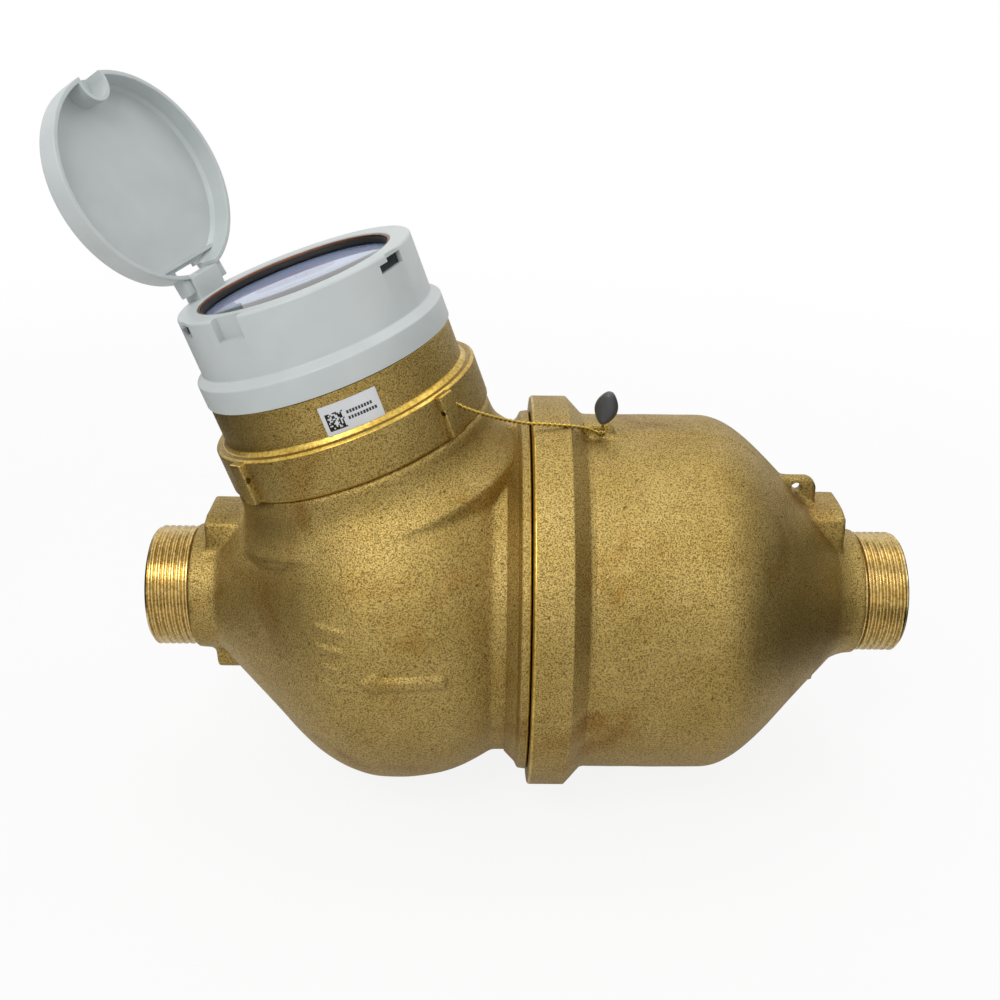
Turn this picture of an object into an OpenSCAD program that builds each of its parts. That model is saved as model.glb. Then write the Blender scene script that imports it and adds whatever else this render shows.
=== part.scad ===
// Volumetric water meter in a cast brass body, with a tilted, hermetic register under a hinged lid.
// The origin is the centre of the outlet end face, +X runs along the pipe towards the inlet, +Z is up.
// Water flows from the inlet at +X to the outlet at the origin.

/* [Pipe run] */
// Outside diameter of the G1 1/4 connection threads
thread_d = 41.91; // [40:0.01:43]
// Length of each connection thread
thread_length = 16; // [12:0.5:18]
// Diameter of the waterway in both ends
waterway_d = 27; // [20:0.5:30]
// How far the plain collar behind each thread stands above it
collar_step = 1.145; // [0.6:0.005:3]
// Height of the wrench flats above the pipe axis
flat_height = 30.5; // [28:0.5:33]

/* [Outlet casting] */
// Distance from the outlet end face to the foot of the register axis
head_x = 93.3; // [88:0.1:100]
// Distance from there to the face of the body joint
head_to_joint = 37.1; // [34:0.1:44]
// Distance from the widest ring of the bulb to the foot of the register axis
bulb_shift = 9.3; // [6:0.1:12]
// How far the bulb swells over the waist, all round
bulb_swell = 9.5; // [6:0.1:14]
// Wall of the brass castings
casting_wall = 5; // [4:0.1:6]
// Gap all round between the measuring chamber and the bore of the body joint
chamber_entry = 7.5; // [5:0.1:10]

/* [Inlet bowl] */
// Length of the bowl, from the body joint to the inlet end face
bowl_length = 129.6; // [120:0.1:170]
// How far the heavy ring stands above the waist of the outlet casting
ring_rise = 11.6; // [9:0.1:14]
// Width of that ring
ring_width = 12.3; // [10:0.1:14]
// How far the bowl stands above the waist of the outlet casting
bowl_rise = 5.4; // [5:0.1:8]
// Reach of the dome to the start of the cone
dome_reach = 22; // [18:0.5:26]
// How far the dome draws in over that reach
dome_drop = 12.5; // [9:0.1:15]

/* [Neck and head ring] */
// Lean of the register axis towards the outlet, in degrees
head_tilt = 19.3; // [15:0.1:24]
// How far the joint under the head ring lies below the height of the bulb
neck_drop = 5.3; // [2:0.1:7]
// Free bore of the neck
neck_bore_d = 68; // [64:0.5:74]
// Wall of the neck
neck_wall = 10.6; // [9:0.1:13]
// Height of the threaded spigot of the neck
neck_spigot_height = 8.3; // [6:0.1:10]
// Wall of the head ring round that spigot
head_ring_wall = 4; // [3:0.1:6]
// Height of the thick band of the head ring
head_band_height = 15; // [13:0.1:18]
// Height of the cylinder above the band, up to the shroud
head_cup_height = 14; // [10:0.1:18]
// How far the lugs of the head ring stand out
lug_height = 2.2; // [1.5:0.1:4]

/* [Register] */
// Width of the ledge that the copper can sits on
can_ledge = 2.8; // [2:0.1:5]
// Wall of the copper can
can_wall = 0.8; // [0.6:0.1:1]
// Wall of the spigot that the shroud turns on
cup_spigot_wall = 2.35; // [1.6:0.05:3]
// Wall of the upper part of the shroud
shroud_wall = 2.4; // [2:0.1:3]
// Wall of the skirt of the shroud
skirt_wall = 2.1; // [1.6:0.1:2.6]
// Height of the shroud
shroud_height = 29.8; // [28:0.1:34]
// Height of the skirt up to the sloping shoulder
skirt_height = 8; // [7.5:0.1:11]
// Width of the rim that the shroud and the can form round the window
window_rim = 4.3; // [3:0.1:7]
// Thickness of the window
window_thickness = 4; // [3:0.1:5]
// Depth of the dial under the window
dial_depth = 7; // [5:0.1:9]
// Diameter of each drum of the counter
drum_d = 9.2; // [8:0.1:10]
// Width of each drum
drum_width = 4.4; // [3.6:0.1:4.8]
// Size of the gear teeth, as pitch diameter over their number
gear_module = 0.75; // [0.6:0.01:0.8]

/* [Lid] */
// How far the rim of the lid stays inside the edge of the shroud
lid_margin = 3.6; // [2:0.1:5]
// Height of the closed lid
lid_height = 8.5; // [7:0.1:12]
// Wall of the lid
lid_wall = 1.7; // [1.2:0.1:2.2]
// Angle to which the lid stands open, in degrees
lid_opening = 98.8; // [0:0.1:104]
// Place of the hinge round the register, in degrees from the inlet side
hinge_azimuth = 157.1; // [140:0.1:170]
// Diameter of the hinge pin
hinge_pin_d = 2.4; // [1.8:0.1:2.8]

/* [Measuring chamber] */
// Outside diameter of the chamber
chamber_d = 88; // [80:0.5:92]
// Wall of the chamber
chamber_wall = 4; // [3:0.1:5]
// Height of the swept space
chamber_space = 36; // [30:0.5:38]
// Wall of the ring piston
piston_wall = 3.4; // [2.6:0.1:4]
// Radius on which the piston centre travels
crank_throw = 6.5; // [5.5:0.1:7]
// Thickness of the division plate
division_thickness = 2; // [1.5:0.1:3]
// Gap between the piston and the walls round it
piston_gap = 0.3; // [0.2:0.05:0.5]

/* [Strainer] */
// Distance from the bottom of the strainer basket to the start of the cone
strainer_gap = 15.5; // [6:0.5:30]
// Number of slots round the basket
strainer_slots = 30; // [20:2:36]

/* [Hidden] */
$fn = 96;

// Colours as seen
cast_brass = [0.56, 0.45, 0.24];
turned_brass = [0.80, 0.68, 0.36];
wire_brass = [0.72, 0.56, 0.26];
grey_plastic = [0.78, 0.80, 0.80];
white_plastic = [0.90, 0.90, 0.88];
dark_plastic = [0.25, 0.26, 0.28];
red_plastic = [0.75, 0.10, 0.10];
copper = [0.66, 0.40, 0.26];
steel = [0.72, 0.73, 0.74];
black_rubber = [0.10, 0.10, 0.11];
magnet_grey = [0.30, 0.30, 0.32];
lead_grey = [0.20, 0.21, 0.22];
label_white = [0.93, 0.93, 0.92];
glass = [0.75, 0.85, 0.90, 0.35];

// Clearances
shaft_gap = 0.05;
thread_gap = 0.1;
turning_gap = 0.3;
past = 1;

// Measuring chamber, with heights along the register axis from the pipe axis
chamber_r = chamber_d / 2;
bore_r = chamber_r - chamber_wall;
chamber_floor = -chamber_space / 3;
chamber_low = chamber_floor - chamber_wall;
chamber_high = chamber_floor + chamber_space;
cover_top = chamber_high + chamber_wall;
piston_r = bore_r - crank_throw - piston_gap;
piston_inner_r = piston_r - piston_wall;
hub_ring_r = piston_inner_r - crank_throw - piston_gap;
hub_ring_inner_r = hub_ring_r - 3;
web_middle = chamber_floor + chamber_space / 2;
web_half = 1.5;
guide_pin_r = 3;
post_r = crank_throw - guide_pin_r - piston_gap;
crank_pin_r = 2;
spindle_r = 2.5;
division_azimuth = 150;
division_seat = 1.5;
screw_count = 4;
screw_r = 0.9;
screw_circle_r = chamber_r - 2.2;

// Outlet casting, measured from the outlet end face
thread_r = thread_d / 2;
waterway_r = waterway_d / 2;
collar_r = thread_r + collar_step;
cone_end_r = collar_r + 0.5;
collar_length = 7.4;
joint_bore_r = chamber_r + chamber_entry;
waist_r = joint_bore_r + casting_wall;
bulb_r = waist_r + bulb_swell;
joint_x = head_x + head_to_joint;
bulb_x = head_x - bulb_shift;
cone_x = bulb_x - 33;
cone_r = bulb_r - 15.8;
foot_x = thread_length + collar_length;
cone_angle = atan2(cone_r - cone_end_r, cone_x - foot_x);
ring_r = waist_r + ring_rise;
joint_rim_r = ring_r - 5.1;
joint_rim_width = 4.4;
waist_x = joint_x - joint_rim_width - 2;
spigot_length = 20;
spigot_end_x = joint_x + spigot_length;

// Spout of the chamber and its seat in the outlet casting
spout_r = 12;
spout_bore_r = 9.5;
spout_seat_r = 14.6;
spout_seat_depth = 4;
seat_x = head_x - chamber_r - 15.3;
spout_end_x = seat_x - spout_seat_depth;

// Inlet bowl, and the length between the two end faces, which is 260
laying_length = joint_x + bowl_length;
bowl_r = waist_r + bowl_rise;
bowl_bore_r = bowl_r - casting_wall - 1;
bowl_step_x = spigot_end_x + 2.2;
chamfer_x = joint_x + ring_width;
chamfer_width = 5.5;
thread_start = laying_length - thread_length;
bowl_foot_x = thread_start - 6.8;
bowl_foot_r = cone_end_r + 2;
dome_end_x = bowl_foot_x - 24.8;
dome_end_r = bowl_r - dome_drop;
dome_x = dome_end_x - dome_reach;
bowl_angle = atan2(dome_end_r - bowl_foot_r, bowl_foot_x - dome_end_x);

// Neck and head ring, with heights along the register axis
neck_height = bulb_r - neck_drop;
neck_bore_r = neck_bore_d / 2;
neck_r = neck_bore_r + neck_wall;
neck_spigot_r = neck_r - 3.6;
neck_top = neck_height + neck_spigot_height;
plate_thickness = 3.2;
plate_top = neck_top + plate_thickness;
band_r = neck_spigot_r + thread_gap + head_ring_wall;
band_top = neck_height + head_band_height;
cup_top = band_top + head_cup_height;

// Register
can_r = neck_bore_r + can_ledge;
can_well_r = neck_bore_r - turning_gap;
can_floor = plate_top + turning_gap;
can_seat = band_top + turning_gap;
cup_spigot_r = can_r + turning_gap + cup_spigot_wall;
cup_spigot_top = cup_top + 6.5;
skirt_r = cup_spigot_r + turning_gap + skirt_wall;
cup_r = skirt_r - 0.65;
shroud_r = can_r + shroud_wall;
shroud_low = cup_top + turning_gap;
shroud_top = cup_top + shroud_height;
shroud_plate = 2.1;
can_top = shroud_top - shroud_plate;
opening_r = can_r - window_rim;
window_r = can_r - can_wall;
window_top = can_top - can_wall;
window_low = window_top - window_thickness;
gasket_thickness = 1.4;
gasket_low = window_low - gasket_thickness;
gasket_inner_r = window_r - 4;
dial_r = window_r - 1.6;
dial_top = window_low - dial_depth;
dial_thickness = 1;

// Hinge of the lid
hinge_rise = 4;
hinge_h = shroud_top + hinge_rise;
lid_r = shroud_r - lid_margin;
hinge_rho = lid_r + 1.1;
tongue_width = 10.4;
ear_gap = 0.3;
ear_width = 3;

// Lugs for the seal wire round the head ring
lug_azimuths = [-134, -39, 51, 136];
lug_width = 6;
lug_hole_r = 0.9;
lug_hole_height = neck_height + 9;

// Magnets on both sides of the pressure plate
magnet_r = 13;
magnet_height = 6.5;
magnet_low = neck_top - 9;
follower_height = 4.6;
follower_low = can_floor + can_wall + 0.5;

// Wheels of the movement: two stages on upright shafts between two plates
small_teeth = 10;
large_teeth = 30;
stage_distance = gear_module * (small_teeth + large_teeth) / 2;
star_at = stage_distance * [cos(201.04), sin(201.04)];
pointer_at = star_at + stage_distance * [cos(13.28), -sin(13.28)];
wheel_width = 2.2;
stage_1 = can_floor + 9.8;
stage_2 = stage_1 + 4;
plate_width = 1.6;
lower_plate = stage_1 - 2.4;
upper_plate = stage_2 + wheel_width + 1.2;
shaft_r = 1;
frame_r = can_well_r - can_wall - 1.9;

// Counter, in the frame of the dial
drum_count = 6;
drum_pitch = drum_width + 0.5;
drum_r = drum_d / 2;
drum_row_y = 9;
drum_h = dial_top - dial_thickness - drum_r - 0.4;
drum_row = drum_count * drum_pitch;
axle_r = 1;
cheek_width = 1.6;
cheek_x = drum_row / 2 + 1.2;

// A cubic curve through two end points with two handles
function bezier(a, b, c, d, n) = [
    for (i = [0 : n])
        let (t = i / n, s = 1 - t)
        s * s * s * a + 3 * s * s * t * b + 3 * s * t * t * c + t * t * t * d
];

// A point moved at right angles into the wall of a cone that rises at this angle
function into_wall(point, angle, wall) = point + wall * [sin(angle), -cos(angle)];

// Places a child on the register axis, with local X towards the inlet and local Z along the axis
module on_register_axis() {
    translate([head_x, 0, 0])
        rotate([0, -head_tilt, 0])
            children();
}

// Places a child in the frame of the dial, with local Y towards the hinge
module on_dial() {
    on_register_axis()
        rotate([0, 0, hinge_azimuth - 90])
            children();
}

// Places a child on the hinge of the lid, with local Y along its pin
module on_hinge() {
    on_register_axis()
        rotate([0, 0, hinge_azimuth])
            translate([hinge_rho, 0, hinge_h])
                children();
}

// Turns a list of [station, radius] points round the pipe axis
module pipe_revolve(points) {
    rotate([0, 90, 0])
        rotate_extrude()
            polygon([for (p = points) [p[1], p[0]]]);
}

// A cylinder along the pipe axis between two stations
module pipe_cylinder(r, from, to) {
    translate([from, 0, 0])
        rotate([0, 90, 0])
            cylinder(r = r, h = to - from);
}

// A pin across the view, centred on local Y
module cross_pin(r, length) {
    rotate([90, 0, 0])
        cylinder(r = r, h = length, center = true);
}

module disc(r, low, high) {
    translate([0, 0, low])
        cylinder(r = r, h = high - low);
}

module ring_solid(r_out, r_in, low, high) {
    difference() {
        disc(r_out, low, high);
        disc(r_in, low - past, high + past);
    }
}

module bar(size_x, size_y, low, high) {
    translate([-size_x / 2, -size_y / 2, low])
        cube([size_x, size_y, high - low]);
}

// A block that starts at a radius and lies across it
module block_at(from_r, size_x, size_y, low, high) {
    translate([from_r, -size_y / 2, low])
        cube([size_x, size_y, high - low]);
}

// A sector of a disc between two azimuths
module sector(r, from, to, low, high) {
    steps = 4;
    arc = [for (i = [0 : steps]) let (a = from + (to - from) * i / steps) r * [cos(a), sin(a)]];
    translate([0, 0, low])
        linear_extrude(high - low)
            polygon(concat([[0, 0]], arc));
}

// A ring of round section
module seal_ring(centre_r, section_r, height) {
    translate([0, 0, height])
        rotate_extrude()
            translate([centre_r, 0])
                circle(r = section_r, $fn = 24);
}

// Outline of the outlet casting from its cone to its waist
function bulb_outline(grow) = concat(
    [[foot_x - 3, collar_r + grow], [foot_x, cone_end_r + grow]],
    bezier([cone_x, cone_r + grow], [cone_x + 7.5, cone_r + 7.5 + grow],
        [bulb_x - 14, bulb_r + grow], [bulb_x, bulb_r + grow], 8),
    bezier([bulb_x + 0.5, bulb_r + grow], [bulb_x + 13, bulb_r + grow],
        [waist_x - 18, waist_r + 7.5 + grow], [waist_x - 6, waist_r + grow], 8),
    [[waist_x, waist_r + grow]]
);

// Outline of the space in it, from the seat of the spout to the waist
function bulb_cavity() = let (
    cone_start = into_wall([cone_x, cone_r], cone_angle, casting_wall),
    space_end_r = 24,
    space_end_x = cone_start[0] - (cone_start[1] - space_end_r) / tan(cone_angle)
) concat(
    [[max(space_end_x, seat_x - 2.5), space_end_r]],
    bezier(cone_start, cone_start + [7.5, 7.5],
        [bulb_x - 14, bulb_r - casting_wall], [bulb_x, bulb_r - casting_wall], 8),
    bezier([bulb_x + 0.5, bulb_r - casting_wall], [bulb_x + 13, bulb_r - casting_wall],
        [waist_x - 18, joint_bore_r + 7.5], [waist_x - 6, joint_bore_r], 6)
);

module neck_outer() {
    chamfer = 0.8;
    flare = bezier([neck_r + 6.6, neck_height - 18], [neck_r + 3, neck_height - 14],
        [neck_r, neck_height - 10], [neck_r, neck_height - 4], 6);
    rotate_extrude()
        polygon(concat(
            [[0, neck_height - 30], [neck_r + 5, neck_height - 30]],
            flare,
            [
                [neck_r, neck_height - 1.4],
                [neck_r - chamfer, neck_height - 1],
                [neck_r - chamfer, neck_height],
                [neck_spigot_r, neck_height],
                [neck_spigot_r, neck_top],
                [0, neck_top]
            ]
        ));
}

// Cast flats for a wrench on the upper side of an end, between two stations
module wrench_flats(low, high) {
    flat_r = flat_height / cos(30);
    crest = flat_height + 0.6;
    profile = [
        [0, 0],
        flat_r * [-sin(52), cos(52)],
        flat_r * [-sin(30), cos(30)],
        [-2.5, crest],
        flat_r * [sin(30), cos(30)],
        flat_r * [sin(52), cos(52)]
    ];
    intersection() {
        translate([low, 0, 0])
            rotate([90, 0, 90])
                linear_extrude(high - low)
                    polygon(profile);
        translate([low, 0, 0])
            rotate([0, 90, 0])
                cylinder(r1 = flat_r + 3, r2 = flat_r - 0.6, h = high - low);
    }
}

// The flats of an end that lies at the origin, with its body towards -X: long above, short below
module end_flats(short_length, gap) {
    first = -thread_length - 19;
    wrench_flats(first, -thread_length - gap);
    rotate([180, 0, 0])
        wrench_flats(first, first + short_length);
}

// Raised arrow that points to the outlet
module flow_arrow() {
    tip_x = head_x - 16.3;
    tail_x = head_x + 10.7;
    neck_x = tip_x + 6;
    head_half = 3.6;
    shaft_half = 2;
    translate([0, 0, 1.5])
        rotate([90, 0, 0])
            linear_extrude(bulb_r + 3)
                polygon([
                    [tip_x, 0],
                    [neck_x, head_half],
                    [neck_x, shaft_half],
                    [tail_x, shaft_half],
                    [tail_x, -shaft_half],
                    [neck_x, -shaft_half],
                    [neck_x, -head_half]
                ]);
}

module outlet_outer() {
    arrow_relief = 0.8;
    pipe_revolve(concat(
        [[0, 0], [0, thread_r], [thread_length, thread_r], [thread_length, collar_r]],
        bulb_outline(0),
        [
            [waist_x + 2, joint_rim_r - 2.5],
            [waist_x + 3, joint_rim_r - 0.4],
            [joint_x, joint_rim_r],
            [joint_x, waist_r],
            [spigot_end_x, waist_r],
            [spigot_end_x, 0]
        ]
    ));
    on_register_axis()
        neck_outer();
    mirror([1, 0, 0])
        end_flats(13, 1.4);
    intersection() {
        flow_arrow();
        pipe_revolve(concat([[foot_x, 0]], bulb_outline(arrow_relief), [[waist_x, 0]]));
    }
    // Casting lug at the waist
    rotate([-5, 0, 0])
        translate([joint_x - 12, -2.5, waist_r - 3])
            cube([9, 5, 7]);
}

module outlet_casting()
    color(cast_brass)
    difference() {
        outlet_outer();
        pipe_cylinder(waterway_r, -past, seat_x + past);
        pipe_cylinder(spout_seat_r, spout_end_x - 4, seat_x + past);
        pipe_revolve(concat([[seat_x, 0], [seat_x, 16]], bulb_cavity(),
            [[spigot_end_x + past, joint_bore_r], [spigot_end_x + past, 0]]));
        on_register_axis() {
            disc(neck_bore_r, 12, neck_top + past);
            ring_solid(neck_bore_r + 4.1, neck_bore_r + 1.6, neck_top - 2, neck_top + past);
        }
        // Groove of the joint seal
        pipe_revolve([
            [joint_x + 4, waist_r - 2],
            [joint_x + 4, waist_r + past],
            [joint_x + 7, waist_r + past],
            [joint_x + 7, waist_r - 2]
        ]);
    }

// Eyelet on the cone of the inlet bowl
eyelet_x = dome_end_x + 9.1;
eyelet_z = dome_end_r - (eyelet_x - dome_end_x) * tan(bowl_angle) - 2.3;
eyelet_r = 6.8;
eyelet_width = 4.4;

// Lug for the seal wire, behind the ring of the inlet bowl
bowl_lug_x = chamfer_x + chamfer_width + 6;
bowl_lug_z = bowl_r + 2.2;
bowl_lug_width = 5;

module bowl_outer() {
    pipe_revolve(concat(
        [[joint_x, 0], [joint_x, ring_r], [chamfer_x, ring_r], [chamfer_x + chamfer_width, bowl_r]],
        bezier([dome_x, bowl_r], [dome_x + 9, bowl_r],
            [dome_end_x - 6.5, dome_end_r + 6.5], [dome_end_x, dome_end_r], 10),
        [
            [bowl_foot_x, bowl_foot_r],
            [bowl_foot_x + 3, cone_end_r + 0.5],
            [bowl_foot_x + 6, collar_r],
            [thread_start, collar_r],
            [thread_start, thread_r],
            [laying_length, thread_r],
            [laying_length, 0]
        ]
    ));
    translate([laying_length, 0, 0])
        end_flats(8, 2.6);
    rotate([6, 0, 0]) {
        translate([bowl_lug_x - 7, 0, 0])
            block_at(0, 7, bowl_lug_width, bowl_r - 3, bowl_r + 3.8);
        translate([bowl_lug_x, 0, bowl_lug_z - 1.8])
            cross_pin(3.4, bowl_lug_width);
    }
    translate([eyelet_x, 0, eyelet_z])
        cross_pin(eyelet_r, eyelet_width);
}

// Outline of the space in the bowl
function bowl_cavity() = let (
    cone_start = into_wall([dome_end_x, dome_end_r], 180 - bowl_angle, -casting_wall),
    bore = bowl_bore_r,
    space_end_r = 18,
    space_end_x = cone_start[0] + (cone_start[1] - space_end_r) / tan(bowl_angle)
) concat(
    [
        [joint_x - past, 0],
        [joint_x - past, waist_r + thread_gap],
        [bowl_step_x, waist_r + thread_gap],
        [bowl_step_x, bore]
    ],
    bezier([dome_x - 2, bore], [dome_x + 6, bore], cone_start + [-6.5, 6.5], cone_start, 8),
    [[space_end_x, space_end_r], [space_end_x, 0]]
);

module inlet_bowl()
    color(cast_brass)
    difference() {
        bowl_outer();
        translate([eyelet_x + 1.2, 0, eyelet_z + 2.6])
            cross_pin(1.6, 2 * eyelet_width);
        rotate([6, 0, 0])
            translate([bowl_lug_x - 1, 0, bowl_lug_z - 0.8])
                cross_pin(1.1, 2 * bowl_lug_width);
        pipe_cylinder(waterway_r, dome_end_x, laying_length + past);
        pipe_revolve(bowl_cavity());
    }

module joint_seal()
    color(black_rubber)
    translate([joint_x + 5.5, 0, 0])
        rotate([0, 90, 0])
            seal_ring(waist_r - 1 + thread_gap / 2, 1 + thread_gap / 2, 0);

// Basket of thin steel between the inlet and the chamber, clamped at its rim by the spigot
module strainer()
    color(steel)
    difference() {
        basket_r = joint_bore_r - 4;
        sheet = 1;
        rim_x = spigot_end_x + 0.1;
        end_x = dome_end_x - strainer_gap;
        slot_start = rim_x + 6;
        slot_end = end_x - 8;
        slot_width = 2.4;
        pair_count = strainer_slots / 2;
        end_slots = 6;
        end_slot_width = 3.2;
        union() {
            pipe_cylinder(waist_r - 0.2, rim_x, bowl_step_x - 0.1);
            pipe_cylinder(basket_r, rim_x, end_x);
        }
        pipe_cylinder(basket_r - sheet, rim_x - past, end_x - sheet);
        for (i = [0 : pair_count - 1])
            rotate([180 * i / pair_count, 0, 0])
                translate([slot_start, -basket_r - 2, -slot_width / 2])
                    cube([slot_end - slot_start, 2 * basket_r + 4, slot_width]);
        for (i = [0 : end_slots - 1])
            rotate([360 * i / end_slots, 0, 0])
                translate([end_x - 3, 0.2 * basket_r, -end_slot_width / 2])
                    cube([5, 0.6 * basket_r, end_slot_width]);
    }

module on_chamber_screws() {
    for (i = [0 : screw_count - 1])
        rotate([0, 0, 45 + 360 * i / screw_count])
            translate([screw_circle_r, 0, 0])
                children();
}

// The slot that the division plate sits in, grown by a gap
module division_slot(gap, low, high) {
    rotate([0, 0, division_azimuth])
        block_at(hub_ring_r - division_seat, bore_r - hub_ring_r + 2 * division_seat,
            division_thickness + 2 * gap, low, high);
}

// Measuring chamber: a cup with a hub ring, a guide post, the ports and a spout to the outlet
module chamber_body()
    color(white_plastic)
    difference() {
        union() {
            on_register_axis()
                disc(chamber_r, chamber_low, chamber_high);
            intersection() {
                pipe_cylinder(spout_r, spout_end_x, head_x - 20);
                on_register_axis()
                    disc(2 * chamber_r, chamber_low - 20, cover_top + 30);
            }
        }
        difference() {
            on_register_axis()
                disc(bore_r, chamber_floor, chamber_high + 8);
            on_register_axis() {
                ring_solid(hub_ring_r, hub_ring_inner_r, chamber_floor - past,
                    web_middle - web_half - piston_gap);
                disc(post_r, chamber_floor - past, web_middle - web_half - 1);
            }
        }
        on_register_axis()
            disc(chamber_r + turning_gap, chamber_high, cover_top + 20);
        pipe_cylinder(spout_bore_r, spout_end_x - past, head_x - bore_r + 8);
        on_register_axis() {
            // Inlet port beside the division plate
            rotate([0, 0, division_azimuth - 26])
                block_at(bore_r - 3, chamber_wall + 6, 12, chamber_floor + 4, chamber_high - 4);
            division_slot(0, chamber_floor, chamber_high + past);
            on_chamber_screws()
                disc(screw_r, chamber_high - 8, chamber_high + past);
        }
    }

module chamber_cover()
    color(white_plastic)
    on_register_axis()
        difference() {
            union() {
                disc(chamber_r, chamber_high, cover_top);
                ring_solid(hub_ring_r, hub_ring_inner_r, web_middle + web_half + piston_gap,
                    chamber_high + past);
                disc(6, cover_top - past, cover_top + 8);
            }
            disc(spindle_r + shaft_gap, chamber_high - past, cover_top + 9);
            rotate([0, 0, division_azimuth])
                block_at(hub_ring_r - division_seat, 4, division_thickness, web_middle, chamber_high);
            on_chamber_screws()
                disc(screw_r + 0.2, chamber_high - past, cover_top + past);
        }

module chamber_screws()
    color(steel)
    on_register_axis()
        on_chamber_screws()
            difference() {
                union() {
                    disc(screw_r, chamber_high - 7, cover_top + 0.5);
                    disc(1.9, cover_top, cover_top + 1.6);
                }
                bar(0.6, 5, cover_top + 1, cover_top + 2);
            }

module division_plate()
    color(steel)
    on_register_axis()
        rotate([0, 0, division_azimuth])
            block_at(hub_ring_r - division_seat + 0.1, bore_r - hub_ring_r + 2 * division_seat - 0.2,
                division_thickness - 0.1, chamber_floor, chamber_high);

module spout_seal()
    color(black_rubber)
    translate([(spout_end_x + seat_x) / 2, 0, 0])
        rotate([0, 90, 0])
            seal_ring((spout_r + spout_seat_r) / 2, (spout_seat_r - spout_r) / 2, 0);

// Ring piston: it travels round the hub without turning, its slot astride the division plate
module piston()
    color(dark_plastic)
    on_register_axis()
        translate([crank_throw, 0, 0])
            difference() {
                slot = 2 * crank_throw + division_thickness + 2 * piston_gap + 0.4;
                boss_r = 4.5;
                union() {
                    difference() {
                        disc(piston_r, chamber_floor + piston_gap, chamber_high - piston_gap);
                        disc(piston_inner_r, chamber_floor, web_middle - web_half);
                        disc(piston_inner_r, web_middle + web_half, chamber_high);
                    }
                    disc(guide_pin_r, chamber_floor + piston_gap, web_middle);
                    disc(boss_r, web_middle, web_middle + 8);
                }
                disc(crank_pin_r + shaft_gap, web_middle + web_half, web_middle + 9);
                for (i = [-2 : 2])
                    rotate([0, 0, division_azimuth + 180 + 48 * i])
                        translate([(guide_pin_r + piston_inner_r) / 2, 0, 0])
                            disc(4, web_middle - 3, web_middle + 3);
                rotate([0, 0, division_azimuth])
                    block_at(max(hub_ring_r - crank_throw - 8, boss_r + 1), piston_r, slot,
                        chamber_floor, chamber_high);
            }

module crank_spindle()
    color(steel)
    on_register_axis() {
        arm_low = web_middle + 8.6;
        arm_high = arm_low + 3;
        disc(spindle_r, arm_low, magnet_low + 4);
        disc(4.5, arm_low, arm_high);
        translate([crank_throw / 2, 0, 0])
            bar(crank_throw, 6, arm_low, arm_high);
        translate([crank_throw, 0, 0]) {
            disc(crank_pin_r, web_middle + web_half + 0.5, arm_low + 1);
            disc(3, arm_low, arm_high);
        }
    }

module drive_magnet()
    color(magnet_grey)
    on_register_axis()
        difference() {
            disc(magnet_r, magnet_low, magnet_low + magnet_height);
            disc(spindle_r, magnet_low - past, magnet_low + 4);
        }

// Plate that parts the wet side from the register
module pressure_plate()
    color(turned_brass)
    on_register_axis()
        difference() {
            disc(neck_spigot_r - 0.4, neck_top, plate_top);
            disc(magnet_r + 1, plate_top - plate_thickness / 2, plate_top + past);
        }

module neck_seal()
    color(black_rubber)
    on_register_axis()
        seal_ring(neck_bore_r + 2.85, 1, neck_top - 1);

// Head ring: a band screwed over the neck, with the cup that holds the register
module head_ring()
    color(cast_brass)
    on_register_axis()
        difference() {
            union() {
                rotate_extrude()
                    polygon([
                        [0, neck_height],
                        [band_r - 0.6, neck_height],
                        [band_r, neck_height + 0.6],
                        [band_r, band_top - 1],
                        [band_r - 1, band_top],
                        [cup_r + 1.2, band_top],
                        [cup_r + 0.3, band_top + 0.5],
                        [cup_r, band_top + 1.6],
                        [cup_r, cup_top],
                        [cup_spigot_r, cup_top],
                        [cup_spigot_r, cup_spigot_top],
                        [0, cup_spigot_top]
                    ]);
                for (azimuth = lug_azimuths)
                    rotate([0, 0, azimuth])
                        block_at(band_r - 3, 3 + lug_height, lug_width, neck_height + 0.4, band_top - 0.4);
            }
            disc(neck_spigot_r + thread_gap, neck_height - past, plate_top);
            disc(neck_bore_r, neck_height, cup_spigot_top + past);
            disc(can_r + turning_gap, band_top, cup_spigot_top + past);
            for (azimuth = lug_azimuths)
                rotate([0, 0, azimuth])
                    translate([band_r + lug_height / 2, 0, lug_hole_height])
                        cross_pin(lug_hole_r, 2 * lug_width);
        }

module label()
    color(label_white)
    on_register_axis()
        intersection() {
            ring_solid(cup_r + 0.3, cup_r + 0.05, cup_top - 12.6, cup_top - 3.2);
            sector(cup_r + 3, -89, -63.5, cup_top - 13, cup_top - 3);
        }

// Clip window through the wall of the shroud, lower over a third of its width
module clip_window() {
    low = shroud_top - 4.3;
    block_at(shroud_r - 4, 6, 11.4, low, low + 1.9);
    translate([0, 1.9, 0])
        block_at(shroud_r - 4, 6, 7.6, low, low + 2.9);
}

// Recess at the edge of the shroud, with a deeper pocket inside it
module edge_recess() {
    block_at(shroud_r - 0.9, 3, 10, shroud_top - 7, shroud_top + past);
    translate([0, -0.2, 0])
        block_at(shroud_r - 1.8, 3, 7.2, shroud_top - 5.2, shroud_top + past);
}

module shroud_outer() {
    edge = 0.8;
    on_register_axis()
        rotate_extrude()
            polygon([
                [0, shroud_low],
                [skirt_r - 0.4, shroud_low],
                [skirt_r, shroud_low + 0.4],
                [skirt_r, cup_top + skirt_height],
                [shroud_r, cup_top + skirt_height + 2.3],
                [shroud_r, shroud_top - edge],
                [shroud_r - edge, shroud_top],
                [0, shroud_top]
            ]);
    on_hinge() {
        cross_pin(2.7, tongue_width);
        block_at(-2.7, 5.2, tongue_width, -hinge_rise - 0.5, 0);
    }
}

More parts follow.
